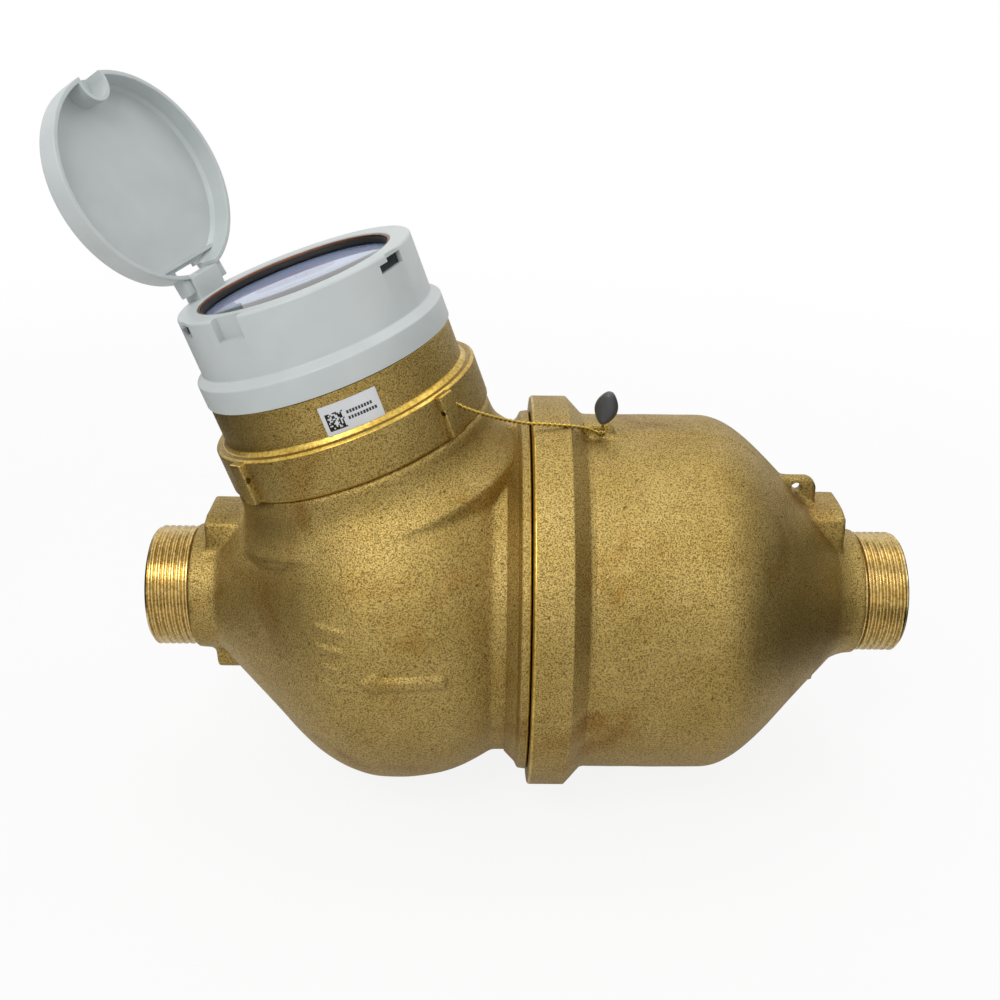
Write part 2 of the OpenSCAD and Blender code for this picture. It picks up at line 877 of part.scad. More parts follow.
// Shroud of the register, with its clip windows
module shroud()
    color(grey_plastic)
    difference() {
        shroud_outer();
        on_register_axis() {
            disc(cup_spigot_r + turning_gap, cup_top - past, cup_spigot_top + turning_gap);
            disc(can_r, cup_top - past, can_top);
            disc(opening_r, cup_top, shroud_top + 8);
            for (azimuth = [-30, -150, 90])
                rotate([0, 0, azimuth])
                    clip_window();
            rotate([0, 0, -115])
                edge_recess();
        }
        on_hinge()
            cross_pin(hinge_pin_d / 2, 2 * tongue_width);
    }

module hinge_pin()
    color(steel)
    on_hinge()
        cross_pin(hinge_pin_d / 2, tongue_width + 2 * (ear_gap + ear_width));

// Lid, drawn closed over the register and turned open about the hinge
lid_draft = 1.5;
lid_low = shroud_top + 0.3;
lid_top = lid_low + lid_height;
notch_r = 4.6;
notch_centre = lid_r - 4.4;

module lid_cup() {
    inner_r = lid_r - lid_wall;
    on_register_axis()
        difference() {
            rotate_extrude()
                polygon(concat(
                    [[0, lid_low], [lid_r, lid_low]],
                    bezier([lid_r - lid_draft * 0.7, lid_top - 2.4], [lid_r - lid_draft, lid_top - 0.6],
                        [lid_r - lid_draft - 0.8, lid_top], [lid_r - lid_draft - 3, lid_top], 4),
                    [[0, lid_top]]
                ));
            rotate_extrude()
                polygon([
                    [0, lid_low - past],
                    [inner_r, lid_low - past],
                    [inner_r - lid_draft * 0.8, lid_top - lid_wall - 1.1],
                    [inner_r - lid_draft * 0.8 - 1.2, lid_top - lid_wall],
                    [0, lid_top - lid_wall]
                ]);
        }
}

// Finger notch opposite the hinge, grown or shrunk all round
module notch_form(grow, low, high) {
    on_register_axis()
        rotate([0, 0, hinge_azimuth + 180])
            translate([notch_centre, 0, 0]) {
                disc(notch_r + grow, low, high);
                block_at(0, 9, 2 * (notch_r + grow), low, high);
            }
}

module lid_ears() {
    for (side = [-1, 1])
        translate([0, side * (tongue_width / 2 + ear_gap + ear_width / 2), 0]) {
            cross_pin(3, ear_width);
            block_at(-5.5, 5.5, ear_width, -0.6, 3);
        }
}

module closed_lid()
    difference() {
        union() {
            lid_cup();
            intersection() {
                notch_form(0, lid_low, lid_top - 0.4);
                on_register_axis()
                    disc(lid_r - lid_draft, lid_low, lid_top);
            }
            on_hinge()
                lid_ears();
        }
        notch_form(-1.5, lid_low - past, lid_top - 1.9);
        on_hinge() {
            // Room for the tongue of the shroud
            block_at(-7.5, 12, tongue_width + 2 * ear_gap, -hinge_rise - 1, lid_height - 1);
            cross_pin(hinge_pin_d / 2 + shaft_gap, 40);
        }
    }

// Takes a child from its place on the part to the frame of the hinge
module to_hinge() {
    rotate([0, 0, -hinge_azimuth])
        translate([-hinge_rho * cos(hinge_azimuth), -hinge_rho * sin(hinge_azimuth), -hinge_h])
            rotate([0, head_tilt, 0])
                translate([-head_x, 0, 0])
                    children();
}

module lid()
    color(grey_plastic)
    on_hinge()
        rotate([0, lid_opening, 0])
            to_hinge()
                closed_lid();

// Register: a drawn copper can under the shroud, sealed by a window
module register_can()
    color(copper)
    on_register_axis()
        difference() {
            union() {
                disc(can_r, can_seat, can_top);
                disc(can_well_r, can_floor, can_seat + past);
            }
            disc(can_r - can_wall, can_seat + can_wall, window_top);
            disc(can_well_r - can_wall, can_floor + can_wall, can_seat + 2);
            disc(opening_r - 1, window_top - past, can_top + past);
        }

module window()
    color(glass)
    on_register_axis()
        disc(window_r - shaft_gap, window_low, window_top);

module window_gasket()
    color(black_rubber)
    on_register_axis()
        ring_solid(window_r - shaft_gap, gasket_inner_r, gasket_low, window_low);

module dial()
    color(white_plastic)
    on_dial()
        difference() {
            disc(dial_r, dial_top - dial_thickness, dial_top);
            translate([0, drum_row_y, 0])
                bar(drum_row + 1, 6.4, dial_top - 3, dial_top + past);
            for (at = [star_at, pointer_at])
                translate(at)
                    disc(1.2, dial_top - 3, dial_top + past);
        }

module gear(teeth, low, high, turn) {
    pitch_r = gear_module * teeth / 2;
    root_r = pitch_r - 0.95 * gear_module;
    tip_r = pitch_r + 0.75 * gear_module;
    step = 360 / teeth;
    root_half = 0.26;
    tip_half = 0.11;
    function at(r, a) = r * [cos(step * a), sin(step * a)];
    outline = [
        for (i = [0 : teeth - 1])
            each [
                at(root_r, i - root_half),
                at(tip_r, i - tip_half),
                at(tip_r, i + tip_half),
                at(root_r, i + root_half)
            ]
    ];
    translate([0, 0, low])
        linear_extrude(high - low)
            rotate(turn)
                polygon(outline);
}

// Plates, pillars and drum bearings of the movement
module movement_frame()
    color(white_plastic)
    on_dial()
        difference() {
            union() {
                disc(frame_r, lower_plate, lower_plate + plate_width);
                intersection() {
                    disc(frame_r, upper_plate, upper_plate + plate_width);
                    bar(2 * frame_r, 44, upper_plate - past, upper_plate + 3);
                }
                for (azimuth = [20, 80, 140, 320])
                    rotate([0, 0, azimuth])
                        translate([frame_r - 2.6, 0, 0])
                            disc(2, lower_plate, dial_top - dial_thickness);
                for (side = [-1, 1])
                    translate([side * (cheek_x + cheek_width / 2), drum_row_y, 0])
                        bar(cheek_width, 6, upper_plate, drum_h + 2.5);
                disc(3, lower_plate - 1.2, lower_plate + plate_width);
            }
            disc(shaft_r + shaft_gap, lower_plate - 3, upper_plate - 0.5);
            for (at = [star_at, pointer_at])
                translate(at)
                    disc(shaft_r + shaft_gap, lower_plate - 3, upper_plate + 3);
            drum_line(axle_r, 2 * frame_r);
        }

// A round bar along the row of drums
module drum_line(r, length) {
    translate([0, drum_row_y, drum_h])
        rotate([0, 90, 0])
            cylinder(r = r, h = length, center = true);
}

module drum_axle()
    color(steel)
    on_dial()
        drum_line(axle_r, 2 * (cheek_x + cheek_width));

module drum(index)
    color(white_plastic)
    on_dial()
        translate([((drum_count + 1) / 2 - index) * drum_pitch, 0, 0])
            difference() {
                drum_line(drum_r, drum_width);
                drum_line(axle_r + shaft_gap, drum_width + 2);
                // A shallow dish in both faces
                for (side = [-1, 1])
                    translate([side * drum_width / 2, 0, 0])
                        difference() {
                            drum_line(drum_r - 0.9, 1.4);
                            drum_line(axle_r + 1.1, 2);
                        }
            }

module drum_1() drum(1);
module drum_2() drum(2);
module drum_3() drum(3);
module drum_4() drum(4);
module drum_5() drum(5);
module drum_6() drum(6);

module follower_magnet()
    color(magnet_grey)
    on_register_axis()
        ring_solid(magnet_r - 1, shaft_r, follower_low, follower_low + follower_height);

module follower_spindle()
    color(steel)
    on_dial() {
        disc(shaft_r, follower_low, stage_1 + wheel_width + 0.4);
        gear(small_teeth, stage_1, stage_1 + wheel_width, 0);
    }

// The turn of each wheel brings a gap of one opposite a tooth of the other
function aim(at) = atan2(at[1], at[0]);

module star_gear()
    color(white_plastic)
    on_dial()
        translate(star_at) {
            step = 360 / large_teeth;
            small_step = 360 / small_teeth;
            away = aim(star_at) + 180;
            tooth_offset = (aim(star_at) % small_step) / small_step;
            gear(large_teeth, stage_1, stage_1 + wheel_width, away + step / 2 + tooth_offset * step);
            gear(small_teeth, stage_2, stage_2 + wheel_width, aim(pointer_at - star_at));
            disc(shaft_r, lower_plate - 0.4, dial_top + 1.6);
        }

module pointer_gear()
    color(white_plastic)
    on_dial()
        translate(pointer_at) {
            step = 360 / large_teeth;
            gear(large_teeth, stage_2, stage_2 + wheel_width, aim(star_at - pointer_at) + step / 2);
            disc(shaft_r, lower_plate + 0.2, dial_top + 1.8);
        }

// Small star that shows the least flow
module flow_star()
    color(red_plastic)
    on_dial()
        translate(star_at)
            difference() {
                points = 8;
                outline = [
                    for (i = [0 : 2 * points - 1])
                        let (r = i % 2 == 0 ? 4.6 : 2.6, a = 180 * i / points)
                        r * [cos(a), sin(a)]
                ];
                translate([0, 0, dial_top + 0.5])
                    linear_extrude(1)
                        polygon(outline);
                disc(shaft_r, dial_top, dial_top + 3);
            }

module pointer()
    color(red_plastic)
    on_dial()
        translate(pointer_at)
            difference() {
                union() {
                    disc(1.8, dial_top + 0.6, dial_top + 1.4);
                    translate([0, 0, dial_top + 0.6])
                        linear_extrude(0.8)
                            polygon([[-0.9, -2.6], [0.9, -2.6], [0.35, 6.8], [-0.35, 6.8]]);
                }
                disc(shaft_r, dial_top, dial_top + 3);
            }

// Seal wire: its route from the head ring to the lug on the bowl and on to the lead seal
wire_r = 0.7;
wire_sides = 8;
wire_route = [
    [104, -29, 77.5],
    [106, -26.5, 78.5],
    [108.5, -25.5, 77],
    [113.5, -23.5, 74.5],
    [119, -21, 72],
    [124, -18.5, 70],
    [129.5, -16.5, 68.5],
    [134.5, -15.5, 68],
    [139, -15, 67.5],
    [144, -13.5, 66.5],
    [148.5, -11.5, 65],
    [151.5, -10.5, 63.5],
    [153.5, -10.5, 63.5],
    [154, -11, 65],
    [153, -11.5, 67]
];
wire_last = len(wire_route) - 1;
function unit(v) = v / norm(v);
function wire_dir(i) = unit(wire_route[min(i + 1, wire_last)] - wire_route[max(i - 1, 0)]);
// One point of the ring of points round the route
function wire_point(i, k) = let (
    along = wire_dir(i),
    across = unit(cross(along, [0, 0, 1])),
    up = cross(across, along),
    turn = 360 * k / wire_sides
) wire_route[i] + wire_r * (cos(turn) * across + sin(turn) * up);

module seal_wire()
    color(wire_brass) {
        points = [for (i = [0 : wire_last], k = [0 : wire_sides - 1]) wire_point(i, k)];
        sides = [
            for (i = [0 : wire_last - 1], k = [0 : wire_sides - 1])
                let (n = (k + 1) % wire_sides, here = i * wire_sides, ahead = here + wire_sides)
                [here + k, here + n, ahead + n, ahead + k]
        ];
        first = [for (k = [wire_sides - 1 : -1 : 0]) k];
        last = [for (k = [0 : wire_sides - 1]) wire_last * wire_sides + k];
        polyhedron(points, concat([first], sides, [last]));
    }

module lead_seal()
    color(lead_grey)
    translate(wire_route[wire_last])
        rotate([0, 12, -15])
            intersection() {
                seal_length = 11;
                seal_thickness = 4;
                steps = 8;
                swell = [
                    for (i = [0 : steps])
                        let (t = i / steps)
                        [1 + 2.1 * pow(sin(180 * t), 0.8), seal_length * t]
                ];
                rotate_extrude()
                    polygon(concat([[0, 0]], swell, [[0, seal_length]]));
                bar(7, seal_thickness, 0, seal_length);
            }

outlet_casting();
inlet_bowl();
joint_seal();
strainer();
chamber_body();
chamber_cover();
chamber_screws();
division_plate();
spout_seal();
piston();
crank_spindle();
drive_magnet();
pressure_plate();
neck_seal();
head_ring();
label();
seal_wire();
lead_seal();
shroud();
register_can();
window();
window_gasket();
dial();
movement_frame();
drum_axle();
hinge_pin();
lid();
follower_spindle();
follower_magnet();
star_gear();
flow_star();
pointer_gear();
pointer();
drum_1();
drum_2();
drum_3();
drum_4();
drum_5();
drum_6();
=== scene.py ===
import math
import random

import bmesh
import bpy
from mathutils import Matrix, Vector, noise


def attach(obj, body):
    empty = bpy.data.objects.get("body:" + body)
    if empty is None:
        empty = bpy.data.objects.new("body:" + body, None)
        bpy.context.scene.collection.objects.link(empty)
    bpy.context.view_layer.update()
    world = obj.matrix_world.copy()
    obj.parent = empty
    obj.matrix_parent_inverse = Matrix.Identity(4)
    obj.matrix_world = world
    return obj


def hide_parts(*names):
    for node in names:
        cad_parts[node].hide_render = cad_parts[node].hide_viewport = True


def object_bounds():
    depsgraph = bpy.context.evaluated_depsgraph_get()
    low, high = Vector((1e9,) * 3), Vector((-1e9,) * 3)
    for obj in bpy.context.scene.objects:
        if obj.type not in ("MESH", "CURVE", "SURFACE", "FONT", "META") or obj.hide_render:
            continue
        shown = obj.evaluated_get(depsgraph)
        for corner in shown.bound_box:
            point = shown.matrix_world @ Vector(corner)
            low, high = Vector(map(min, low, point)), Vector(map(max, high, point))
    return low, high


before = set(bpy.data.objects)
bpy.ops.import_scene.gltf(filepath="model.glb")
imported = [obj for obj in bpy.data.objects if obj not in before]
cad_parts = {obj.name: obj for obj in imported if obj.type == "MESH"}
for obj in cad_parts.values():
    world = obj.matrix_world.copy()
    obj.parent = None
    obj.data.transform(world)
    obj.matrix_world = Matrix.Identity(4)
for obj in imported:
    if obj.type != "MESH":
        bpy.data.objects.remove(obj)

cad_box = [list(corner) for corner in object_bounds()]
scene = bpy.context.scene

# Lengths in the code are millimetres; this turns them into the metres of the frame
MM = 0.001

# Body values along the pipe axis
LAYING_LENGTH = 260
THREAD_R = 20.955
THREAD_LENGTH = 16
THREAD_PITCH = 2.309
WATERWAY_R = 13.5
COLLAR_R = 22.1
RING_R = 68.1
BOWL_R = 61.9
WAIST_R = 56.5
RELIEF = 1.1

# Heights and radii about the register axis
BAND_R = 45.1
BAND_TOP = 75.7
CUP_R = 41.2
CUP_TOP = 89.7
SKIRT_R = 41.85
SHROUD_R = 39.2
SHROUD_TOP = 119.5
CAN_R = 35.2
CAN_TOP = 117.4
CLIP_AZIMUTHS = (-30, -150, 90)
OPENING_R = 32.5
WINDOW_LOW = 112.6
WINDOW_TOP = 116.6
DIAL_TOP = 105.6
DRUM_H = 99.6
DRUM_R = 4.6
DRUM_PITCH = 4.9
DRUM_ROW_Y = 9
POINTER_AT = (0.6, -8.83)

# Lid and its hinge
LID_LOW = 119.9
LID_TOP = 128
LID_R = 34.8
HINGE_H = 123.5
HINGE_RHO = 36.6
LID_OPENING = 98.7
MOVEMENT_AZIMUTH = 157.1
LID_AZIMUTH = 156.5


def turned_by(degrees, axis="Z"):
    return Matrix.Rotation(math.radians(degrees), 4, axis)


def at(x, y, z):
    return Matrix.Translation((x, y, z))


# Places: the pipe axis, the register axis, the dial on it, the hinge, and the lid's own frame, whose
# axis is Z, as when closed over the register, with the hinge at +X
PIPE_AXIS = Matrix(((0, 0, 1, 0), (0, 1, 0, 0), (-1, 0, 0, 0), (0, 0, 0, 1)))
REGISTER = at(93.3, 0, 0) @ turned_by(-19.3, "Y")
DIAL = REGISTER @ turned_by(MOVEMENT_AZIMUTH - 90)
HINGE = REGISTER @ turned_by(LID_AZIMUTH) @ at(HINGE_RHO, 0, HINGE_H)
LID = HINGE @ turned_by(LID_OPENING, "Y") @ at(-HINGE_RHO, 0, -HINGE_H)
# Lays a turned piece along Y
ACROSS = turned_by(90, "X")


# Camera, where the outline of the real meter fits the view

def set_camera():
    lens = bpy.data.cameras.new("camera")
    lens.lens = 43.41
    lens.sensor_width = 36
    lens.clip_start = 0.01
    camera = bpy.data.objects.new("camera", lens)
    right = Vector((0.99992, -0.00275, 0.01203))
    up = Vector((-0.00981, 0.41404, 0.91021))
    ahead = Vector((0.00748, 0.91026, -0.41398))
    turn = Matrix((right, up, -ahead)).transposed().to_4x4()
    camera.matrix_world = at(0.11721, -0.37785, 0.2059) @ turn
    scene.collection.objects.link(camera)
    scene.camera = camera


set_camera()


# Making and joining meshes

def piece(name, points, faces, place=Matrix.Identity(4), body="housing"):
    """A mesh from points in mm in the frame called place, riding on a body."""
    mesh = bpy.data.meshes.new(name)
    mesh.from_pydata([(place @ Vector(p)) * MM for p in points], [], faces)
    made = bpy.data.objects.new(name, mesh)
    scene.collection.objects.link(made)
    tidy_normals(made)
    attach(made, body)
    return made


def tidy_normals(made):
    work = bmesh.new()
    work.from_mesh(made.data)
    bmesh.ops.remove_doubles(work, verts=work.verts, dist=1e-7)
    bmesh.ops.recalc_face_normals(work, faces=work.faces)
    work.to_mesh(made.data)
    work.free()


def arc_corner(before, corner, after, radius, steps=5):
    """The points of a rounded corner between two straight lines of an outline."""
    a = (Vector(before) - Vector(corner)).normalized()
    b = (Vector(after) - Vector(corner)).normalized()
    half = a.angle(b) / 2
    reach = min(radius / math.tan(half), 0.48 * (Vector(before) - Vector(corner)).length,
                0.48 * (Vector(after) - Vector(corner)).length)
    radius = reach * math.tan(half)
    centre = Vector(corner) + (a + b).normalized() * (radius / math.sin(half))
    start = Vector(corner) + a * reach - centre
    turn = start.angle_signed(Vector(corner) + b * reach - centre)
    made = []
    for i in range(steps + 1):
        angle = -turn * i / steps
        made.append((centre.x + start.x * math.cos(angle) - start.y * math.sin(angle),
                     centre.y + start.x * math.sin(angle) + start.y * math.cos(angle)))
    return made


def rounded(outline):
    """A closed outline of (r, z) or (r, z, corner radius) points, with its corners turned into arcs."""
    made = []
    for i, point in enumerate(outline):
        if len(point) == 2:
            made.append(point)
        else:
            after = outline[(i + 1) % len(outline)]
            made += arc_corner(outline[i - 1][:2], point[:2], after[:2], point[2])
    return made


def circle(radius, z, count):
    """Points round local Z."""
    return [(radius * math.cos(2 * math.pi * k / count), radius * math.sin(2 * math.pi * k / count), z)
            for k in range(count)]


def ring_faces(a, b, count):
    """Faces between two rings of count points that start at the numbers a and b."""
    return [(a + k, a + (k + 1) % count, b + (k + 1) % count, b + k) for k in range(count)]


def lathe(name, outline, place, body="housing", turns=160):
    """A turned solid: a closed outline of (r, z[, corner radius]) points round local Z."""
    ring = rounded(outline)
    points, rows = [], []
    for r, z in ring:
        if r < 1e-6:
            rows.append([len(points)] * turns)
            points.append((0, 0, z))
        else:
            rows.append(list(range(len(points), len(points) + turns)))
            points += circle(r, z, turns)
    faces = []
    for i, row in enumerate(rows):
        after = rows[(i + 1) % len(rows)]
        for k in range(turns):
            n = (k + 1) % turns
            corners = []
            for v in (row[k], row[n], after[n], after[k]):
                if v not in corners:
                    corners.append(v)
            if len(corners) > 2:
                faces.append(corners)
    return piece(name, points, faces, place, body)


def rod(name, radius, low, high, place, body="housing", turns=40):
    """A plain round rod along local Z."""
    return lathe(name, [(0, low), (radius, low), (radius, high), (0, high)], place, body, turns)


def box_shape(low, high):
    """Points and faces of a block between two corners."""
    corners = [Vector((x, y, z)) for x in (low[0], high[0]) for y in (low[1], high[1])
               for z in (low[2], high[2])]
    return corners, [(0, 1, 3, 2), (4, 6, 7, 5), (0, 4, 5, 1), (2, 3, 7, 6), (0, 2, 6, 4), (1, 5, 7, 3)]


def block(name, low, high, place, body="housing", bevel=0.0, segments=2):
    """A block between two corners, its edges rounded by bevel mm."""
    made = piece(name, *box_shape(low, high), place, body)
    if bevel:
        modifier = made.modifiers.new("bevel", "BEVEL")
        modifier.width = bevel * MM
        modifier.segments = segments
        modifier.limit_method = "ANGLE"
        modifier.angle_limit = math.radians(30)
        apply_modifiers(made)
    return made


def apply_modifiers(made):
    bpy.context.view_layer.update()
    graph = bpy.context.evaluated_depsgraph_get()
    mesh = bpy.data.meshes.new_from_object(made.evaluated_get(graph))
    made.modifiers.clear()
    made.data = mesh


def combine(made, others, operation="UNION"):
    """Joins solids to made, or cuts them from it, and removes them."""
    for other in others:
        modifier = made.modifiers.new("join", "BOOLEAN")
        modifier.operation = operation
        modifier.solver = "MANIFOLD"
        modifier.object = other
        apply_modifiers(made)
        bpy.data.objects.remove(other)
    return made


def cast_skin(made, voxel, rounds):
    """Melts the joined solids into one skin with the soft edges of a casting."""
    modifier = made.modifiers.new("skin", "REMESH")
    modifier.mode = "VOXEL"
    modifier.voxel_size = voxel * MM
    apply_modifiers(made)
    modifier = made.modifiers.new("soften", "SMOOTH")
    modifier.factor = 0.5
    modifier.iterations = rounds
    apply_modifiers(made)
    return made


def smooth_shade(made, angle=32):
    """Shades smooth, with sharp edges where faces meet at more than the angle."""
    work = bmesh.new()
    work.from_mesh(made.data)
    for face in work.faces:
        face.smooth = True
    for edge in work.edges:
        edge.smooth = len(edge.link_faces) != 2 or edge.calc_face_angle(0) < math.radians(angle)
    work.to_mesh(made.data)
    work.free()


# Materials

def linear(hex_colour):
    """An sRGB hex colour as linear RGBA."""
    made = []
    for i in (0, 2, 4):
        c = int(hex_colour[i:i + 2], 16) / 255
        made.append(c / 12.92 if c <= 0.04045 else ((c + 0.055) / 1.055) ** 2.4)
    return (*made, 1)


def node(tree, kind, inputs=None, **settings):
    """Adds a node; inputs maps a socket's name or number to a value or to a linked output."""
    made = tree.nodes.new(kind)
    for name, value in settings.items():
        setattr(made, name, value)
    for socket, value in (inputs or {}).items():
        if isinstance(value, bpy.types.NodeSocket):
            tree.links.new(value, made.inputs[socket])
        else:
            made.inputs[socket].default_value = value
    return made


def new_material(name):
    """A material with its tree, its shader and the coordinates in metres of the piece."""
    made = bpy.data.materials.new(name)
    made.use_nodes = True
    tree = made.node_tree
    shader = next(n for n in tree.nodes if n.type == "BSDF_PRINCIPLED")
    place = node(tree, "ShaderNodeTexCoord").outputs["Object"]
    return made, tree, shader, place


def grain(tree, place, size_mm, detail=4, roughness=0.55, distortion=0.0):
    """A noise whose lumps are about size_mm across."""
    return node(tree, "ShaderNodeTexNoise", {"Vector": place, "Scale": 1000 / size_mm, "Detail": detail,
                "Roughness": roughness, "Distortion": distortion}).outputs["Fac"]


def ramp(tree, value, *stops):
    """A colour ramp through (place, hex colour or grey) stops."""
    made = node(tree, "ShaderNodeValToRGB", {"Fac": value})
    band = made.color_ramp
    while len(band.elements) < len(stops):
        band.elements.new(0.5)
    for element, (position, colour) in zip(band.elements, stops):
        element.position = position
        element.color = linear(colour) if isinstance(colour, str) else (colour, colour, colour, 1)
    return made.outputs["Color"]


def multiply(tree, colour, shade):
    return node(tree, "ShaderNodeMix", {0: 1.0, 6: colour, 7: shade}, data_type="RGBA",
                blend_type="MULTIPLY").outputs[2]


def sand_cast_brass():
    """Sand-cast brass, shot blasted: a dull khaki gold skin of bright and dark grain, stained and pitted."""
    made, tree, shader, place = new_material("sand_cast_brass")
    blotch = grain(tree, place, 18, detail=3)
    stain = grain(tree, place, 34, detail=4, distortion=0.8)
    sand = grain(tree, place, 0.5, detail=2, roughness=0.75)
    lumps = grain(tree, place, 2.6, detail=2)
    pits = node(tree, "ShaderNodeTexVoronoi", {"Vector": place, "Scale": 1000 / 6.5}).outputs["Distance"]
    tone = ramp(tree, blotch, (0.3, "B09553"), (0.7, "BFA463"))
    rusty = ramp(tree, stain, (0.56, 1.0), (0.72, "E2CFB4"))
    grains = ramp(tree, sand, (0.40, 0.38), (0.5, 0.84), (0.58, 1.0))
    holes = ramp(tree, pits, (0.05, 0.45), (0.09, 1.0))
    colour = multiply(tree, multiply(tree, multiply(tree, tone, rusty), grains), holes)
    tree.links.new(colour, shader.inputs["Base Color"])
    tree.links.new(ramp(tree, sand, (0.35, 0.56), (0.65, 0.40)), shader.inputs["Roughness"])
    shader.inputs["Metallic"].default_value = 1.0
    fine = node(tree, "ShaderNodeBump", {"Height": sand, "Strength": 0.75, "Distance": 0.0003})
    rough = node(tree, "ShaderNodeBump", {"Height": lumps, "Strength": 0.22, "Distance": 0.0005,
                 "Normal": fine.outputs[0]})
    tree.links.new(rough.outputs[0], shader.inputs["Normal"])
    return made


def turned_brass(name, low, high, roughness, grime=1.0):
    """Brass turned on a lathe: smooth yellow metal, dulled by handling and with grime in its grain."""
    made, tree, shader, place = new_material(name)
    patches = grain(tree, place, 4, detail=4)
    dirt = grain(tree, place, 1.1, detail=3, roughness=0.7)
    colour = multiply(tree, ramp(tree, patches, (0.3, low), (0.7, high)),
                      ramp(tree, dirt, (0.38, grime), (0.56, 1.0)))
    tree.links.new(colour, shader.inputs["Base Color"])
    tree.links.new(ramp(tree, patches, (0.3, roughness + 0.08), (0.7, roughness)),
                   shader.inputs["Roughness"])
    shader.inputs["Metallic"].default_value = 1.0
    bump = node(tree, "ShaderNodeBump", {"Height": dirt, "Strength": 0.25, "Distance": 0.00012})
    tree.links.new(bump.outputs[0], shader.inputs["Normal"])
    return made


def moulded_plastic(name, low, high, gloss=0.4, bump_strength=0.12):
    """Injection-moulded plastic: an even colour with a satin skin and faint flow marks."""
    made, tree, shader, place = new_material(name)
    flow = grain(tree, place, 22, detail=2, distortion=0.6)
    skin = grain(tree, place, 0.35, detail=2)
    tree.links.new(ramp(tree, flow, (0.35, low), (0.65, high)), shader.inputs["Base Color"])
    tree.links.new(ramp(tree, skin, (0.3, gloss - 0.04), (0.7, gloss + 0.05)), shader.inputs["Roughness"])
    bump = node(tree, "ShaderNodeBump", {"Height": skin, "Strength": bump_strength, "Distance": 0.00005})
    tree.links.new(bump.outputs[0], shader.inputs["Normal"])
    shader.inputs["IOR"].default_value = 1.53
    return made


def metal(name, low, high, roughness, size_mm=3):
    """A drawn, rolled or ground metal with faint mottling."""
    made, tree, shader, place = new_material(name)
    mottle = grain(tree, place, size_mm, detail=4)
    tree.links.new(ramp(tree, mottle, (0.3, low), (0.7, high)), shader.inputs["Base Color"])
    tree.links.new(ramp(tree, mottle, (0.3, roughness + 0.08), (0.7, roughness - 0.05)),
                   shader.inputs["Roughness"])
    shader.inputs["Metallic"].default_value = 1.0
    bump = node(tree, "ShaderNodeBump", {"Height": mottle, "Strength": 0.1, "Distance": 0.0001})
    tree.links.new(bump.outputs[0], shader.inputs["Normal"])
    return made


def window_glass():
    """Cut and ground mineral glass: clear, with a faint blue cast that is a painted reflection, and some
    dust; it lets lamplight in.
    """
    made, tree, shader, place = new_material("window_glass")
    dust = grain(tree, place, 1.5, detail=5)
    tree.links.new(ramp(tree, dust, (0.5, 0.0), (0.8, 0.05)), shader.inputs["Roughness"])
    blue_reflection_tint = grain(tree, place, 9, detail=2)
    # The blue cast of the glass: painted reflection
    tree.links.new(ramp(tree, blue_reflection_tint, (0.3, "D3DAE8"), (0.7, "D9E0EC")), shader.inputs["Base Color"])
    shader.inputs["Transmission Weight"].default_value = 1.0
    shader.inputs["IOR"].default_value = 1.5
    shader.inputs["Specular IOR Level"].default_value = 0.12
    seen = node(tree, "ShaderNodeLightPath")
    clear = node(tree, "ShaderNodeBsdfTransparent")
    mixed = node(tree, "ShaderNodeMixShader", {"Fac": seen.outputs["Is Shadow Ray"], 1: shader.outputs[0],
                 2: clear.outputs[0]})
    output = next(n for n in tree.nodes if n.type == "OUTPUT_MATERIAL")
    tree.links.new(mixed.outputs[0], output.inputs["Surface"])
    return made


# Brass: dull and grainy where cast, yellow where turned, pale with dirty roots on the handled threads,
# and rubbed bright on edges, with a painted highlight in the edges' brighter colour
CAST_BRASS = sand_cast_brass()
TURNED_BRASS = turned_brass("turned_brass", "D8B560", "E2C474", 0.24)
THREAD_BRASS = turned_brass("handled_thread_brass", "CDAF6C", "DFC585", 0.2, 0.6)
# Rubbed edges: brighter than the casting, partly wear and partly a painted highlight
WORN_BRASS_AND_HIGHLIGHT = turned_brass("worn_brass_edge_and_highlight", "C9A548", "DDBC62", 0.3, 0.6)
# Moulded and painted plastics: an even body colour under a satin skin
GREY_PLASTIC = moulded_plastic("satin_grey_abs", "BCC3C2", "C3C9C8", 0.36)
WHITE_PLASTIC = moulded_plastic("white_acetal", "DCDCD8", "E4E4E0", 0.38)
DIAL_PLASTIC = moulded_plastic("pale_grey_dial", "B9BCC2", "C0C3C8", 0.42)
# Pale blue dial ring colour: painted reflection of blue surroundings in the glass
DIAL_REFLECTION_BLUE = moulded_plastic("pale_blue_dial_painted_reflection", "9AA7C6", "A3AFCC", 0.42)
# Pale blue liner colour: painted reflection, made pale as painted light on a shaded wall
LINER_REFLECTION_PAINT = moulded_plastic("pale_blue_painted_reflection", "DCE5F4", "E4ECF8", 0.4)
DARK_PLASTIC = moulded_plastic("black_acetal", "1D1F24", "26282D", 0.35)
RED_PLASTIC = moulded_plastic("red_acetal", "B3140F", "BE2018", 0.35)
# Rubber, sintered magnet and the seal's skin: dark and rough, the last with a dull shine
RUBBER = moulded_plastic("black_nitrile", "141415", "1C1C1D", 0.6, 0.3)
MAGNET = moulded_plastic("ferrite", "2B2B2E", "353538", 0.5, 0.3)
LEAD_SKIN = moulded_plastic("dark_seal_skin", "3A3B3C", "4C4D4B", 0.34)
# Printed film and its ink: pale and satin, near black and matt
LABEL_FILM = moulded_plastic("label_film", "CDD0D2", "D6D8DA", 0.35)
PRINT_INK = moulded_plastic("print_ink", "1F1F22", "2A2A2D", 0.5)
# Flocked boards of the studio, which give back next to no light
BLACK_FLOCK = moulded_plastic("black_flock", "0B0B0C", "101011", 0.9)
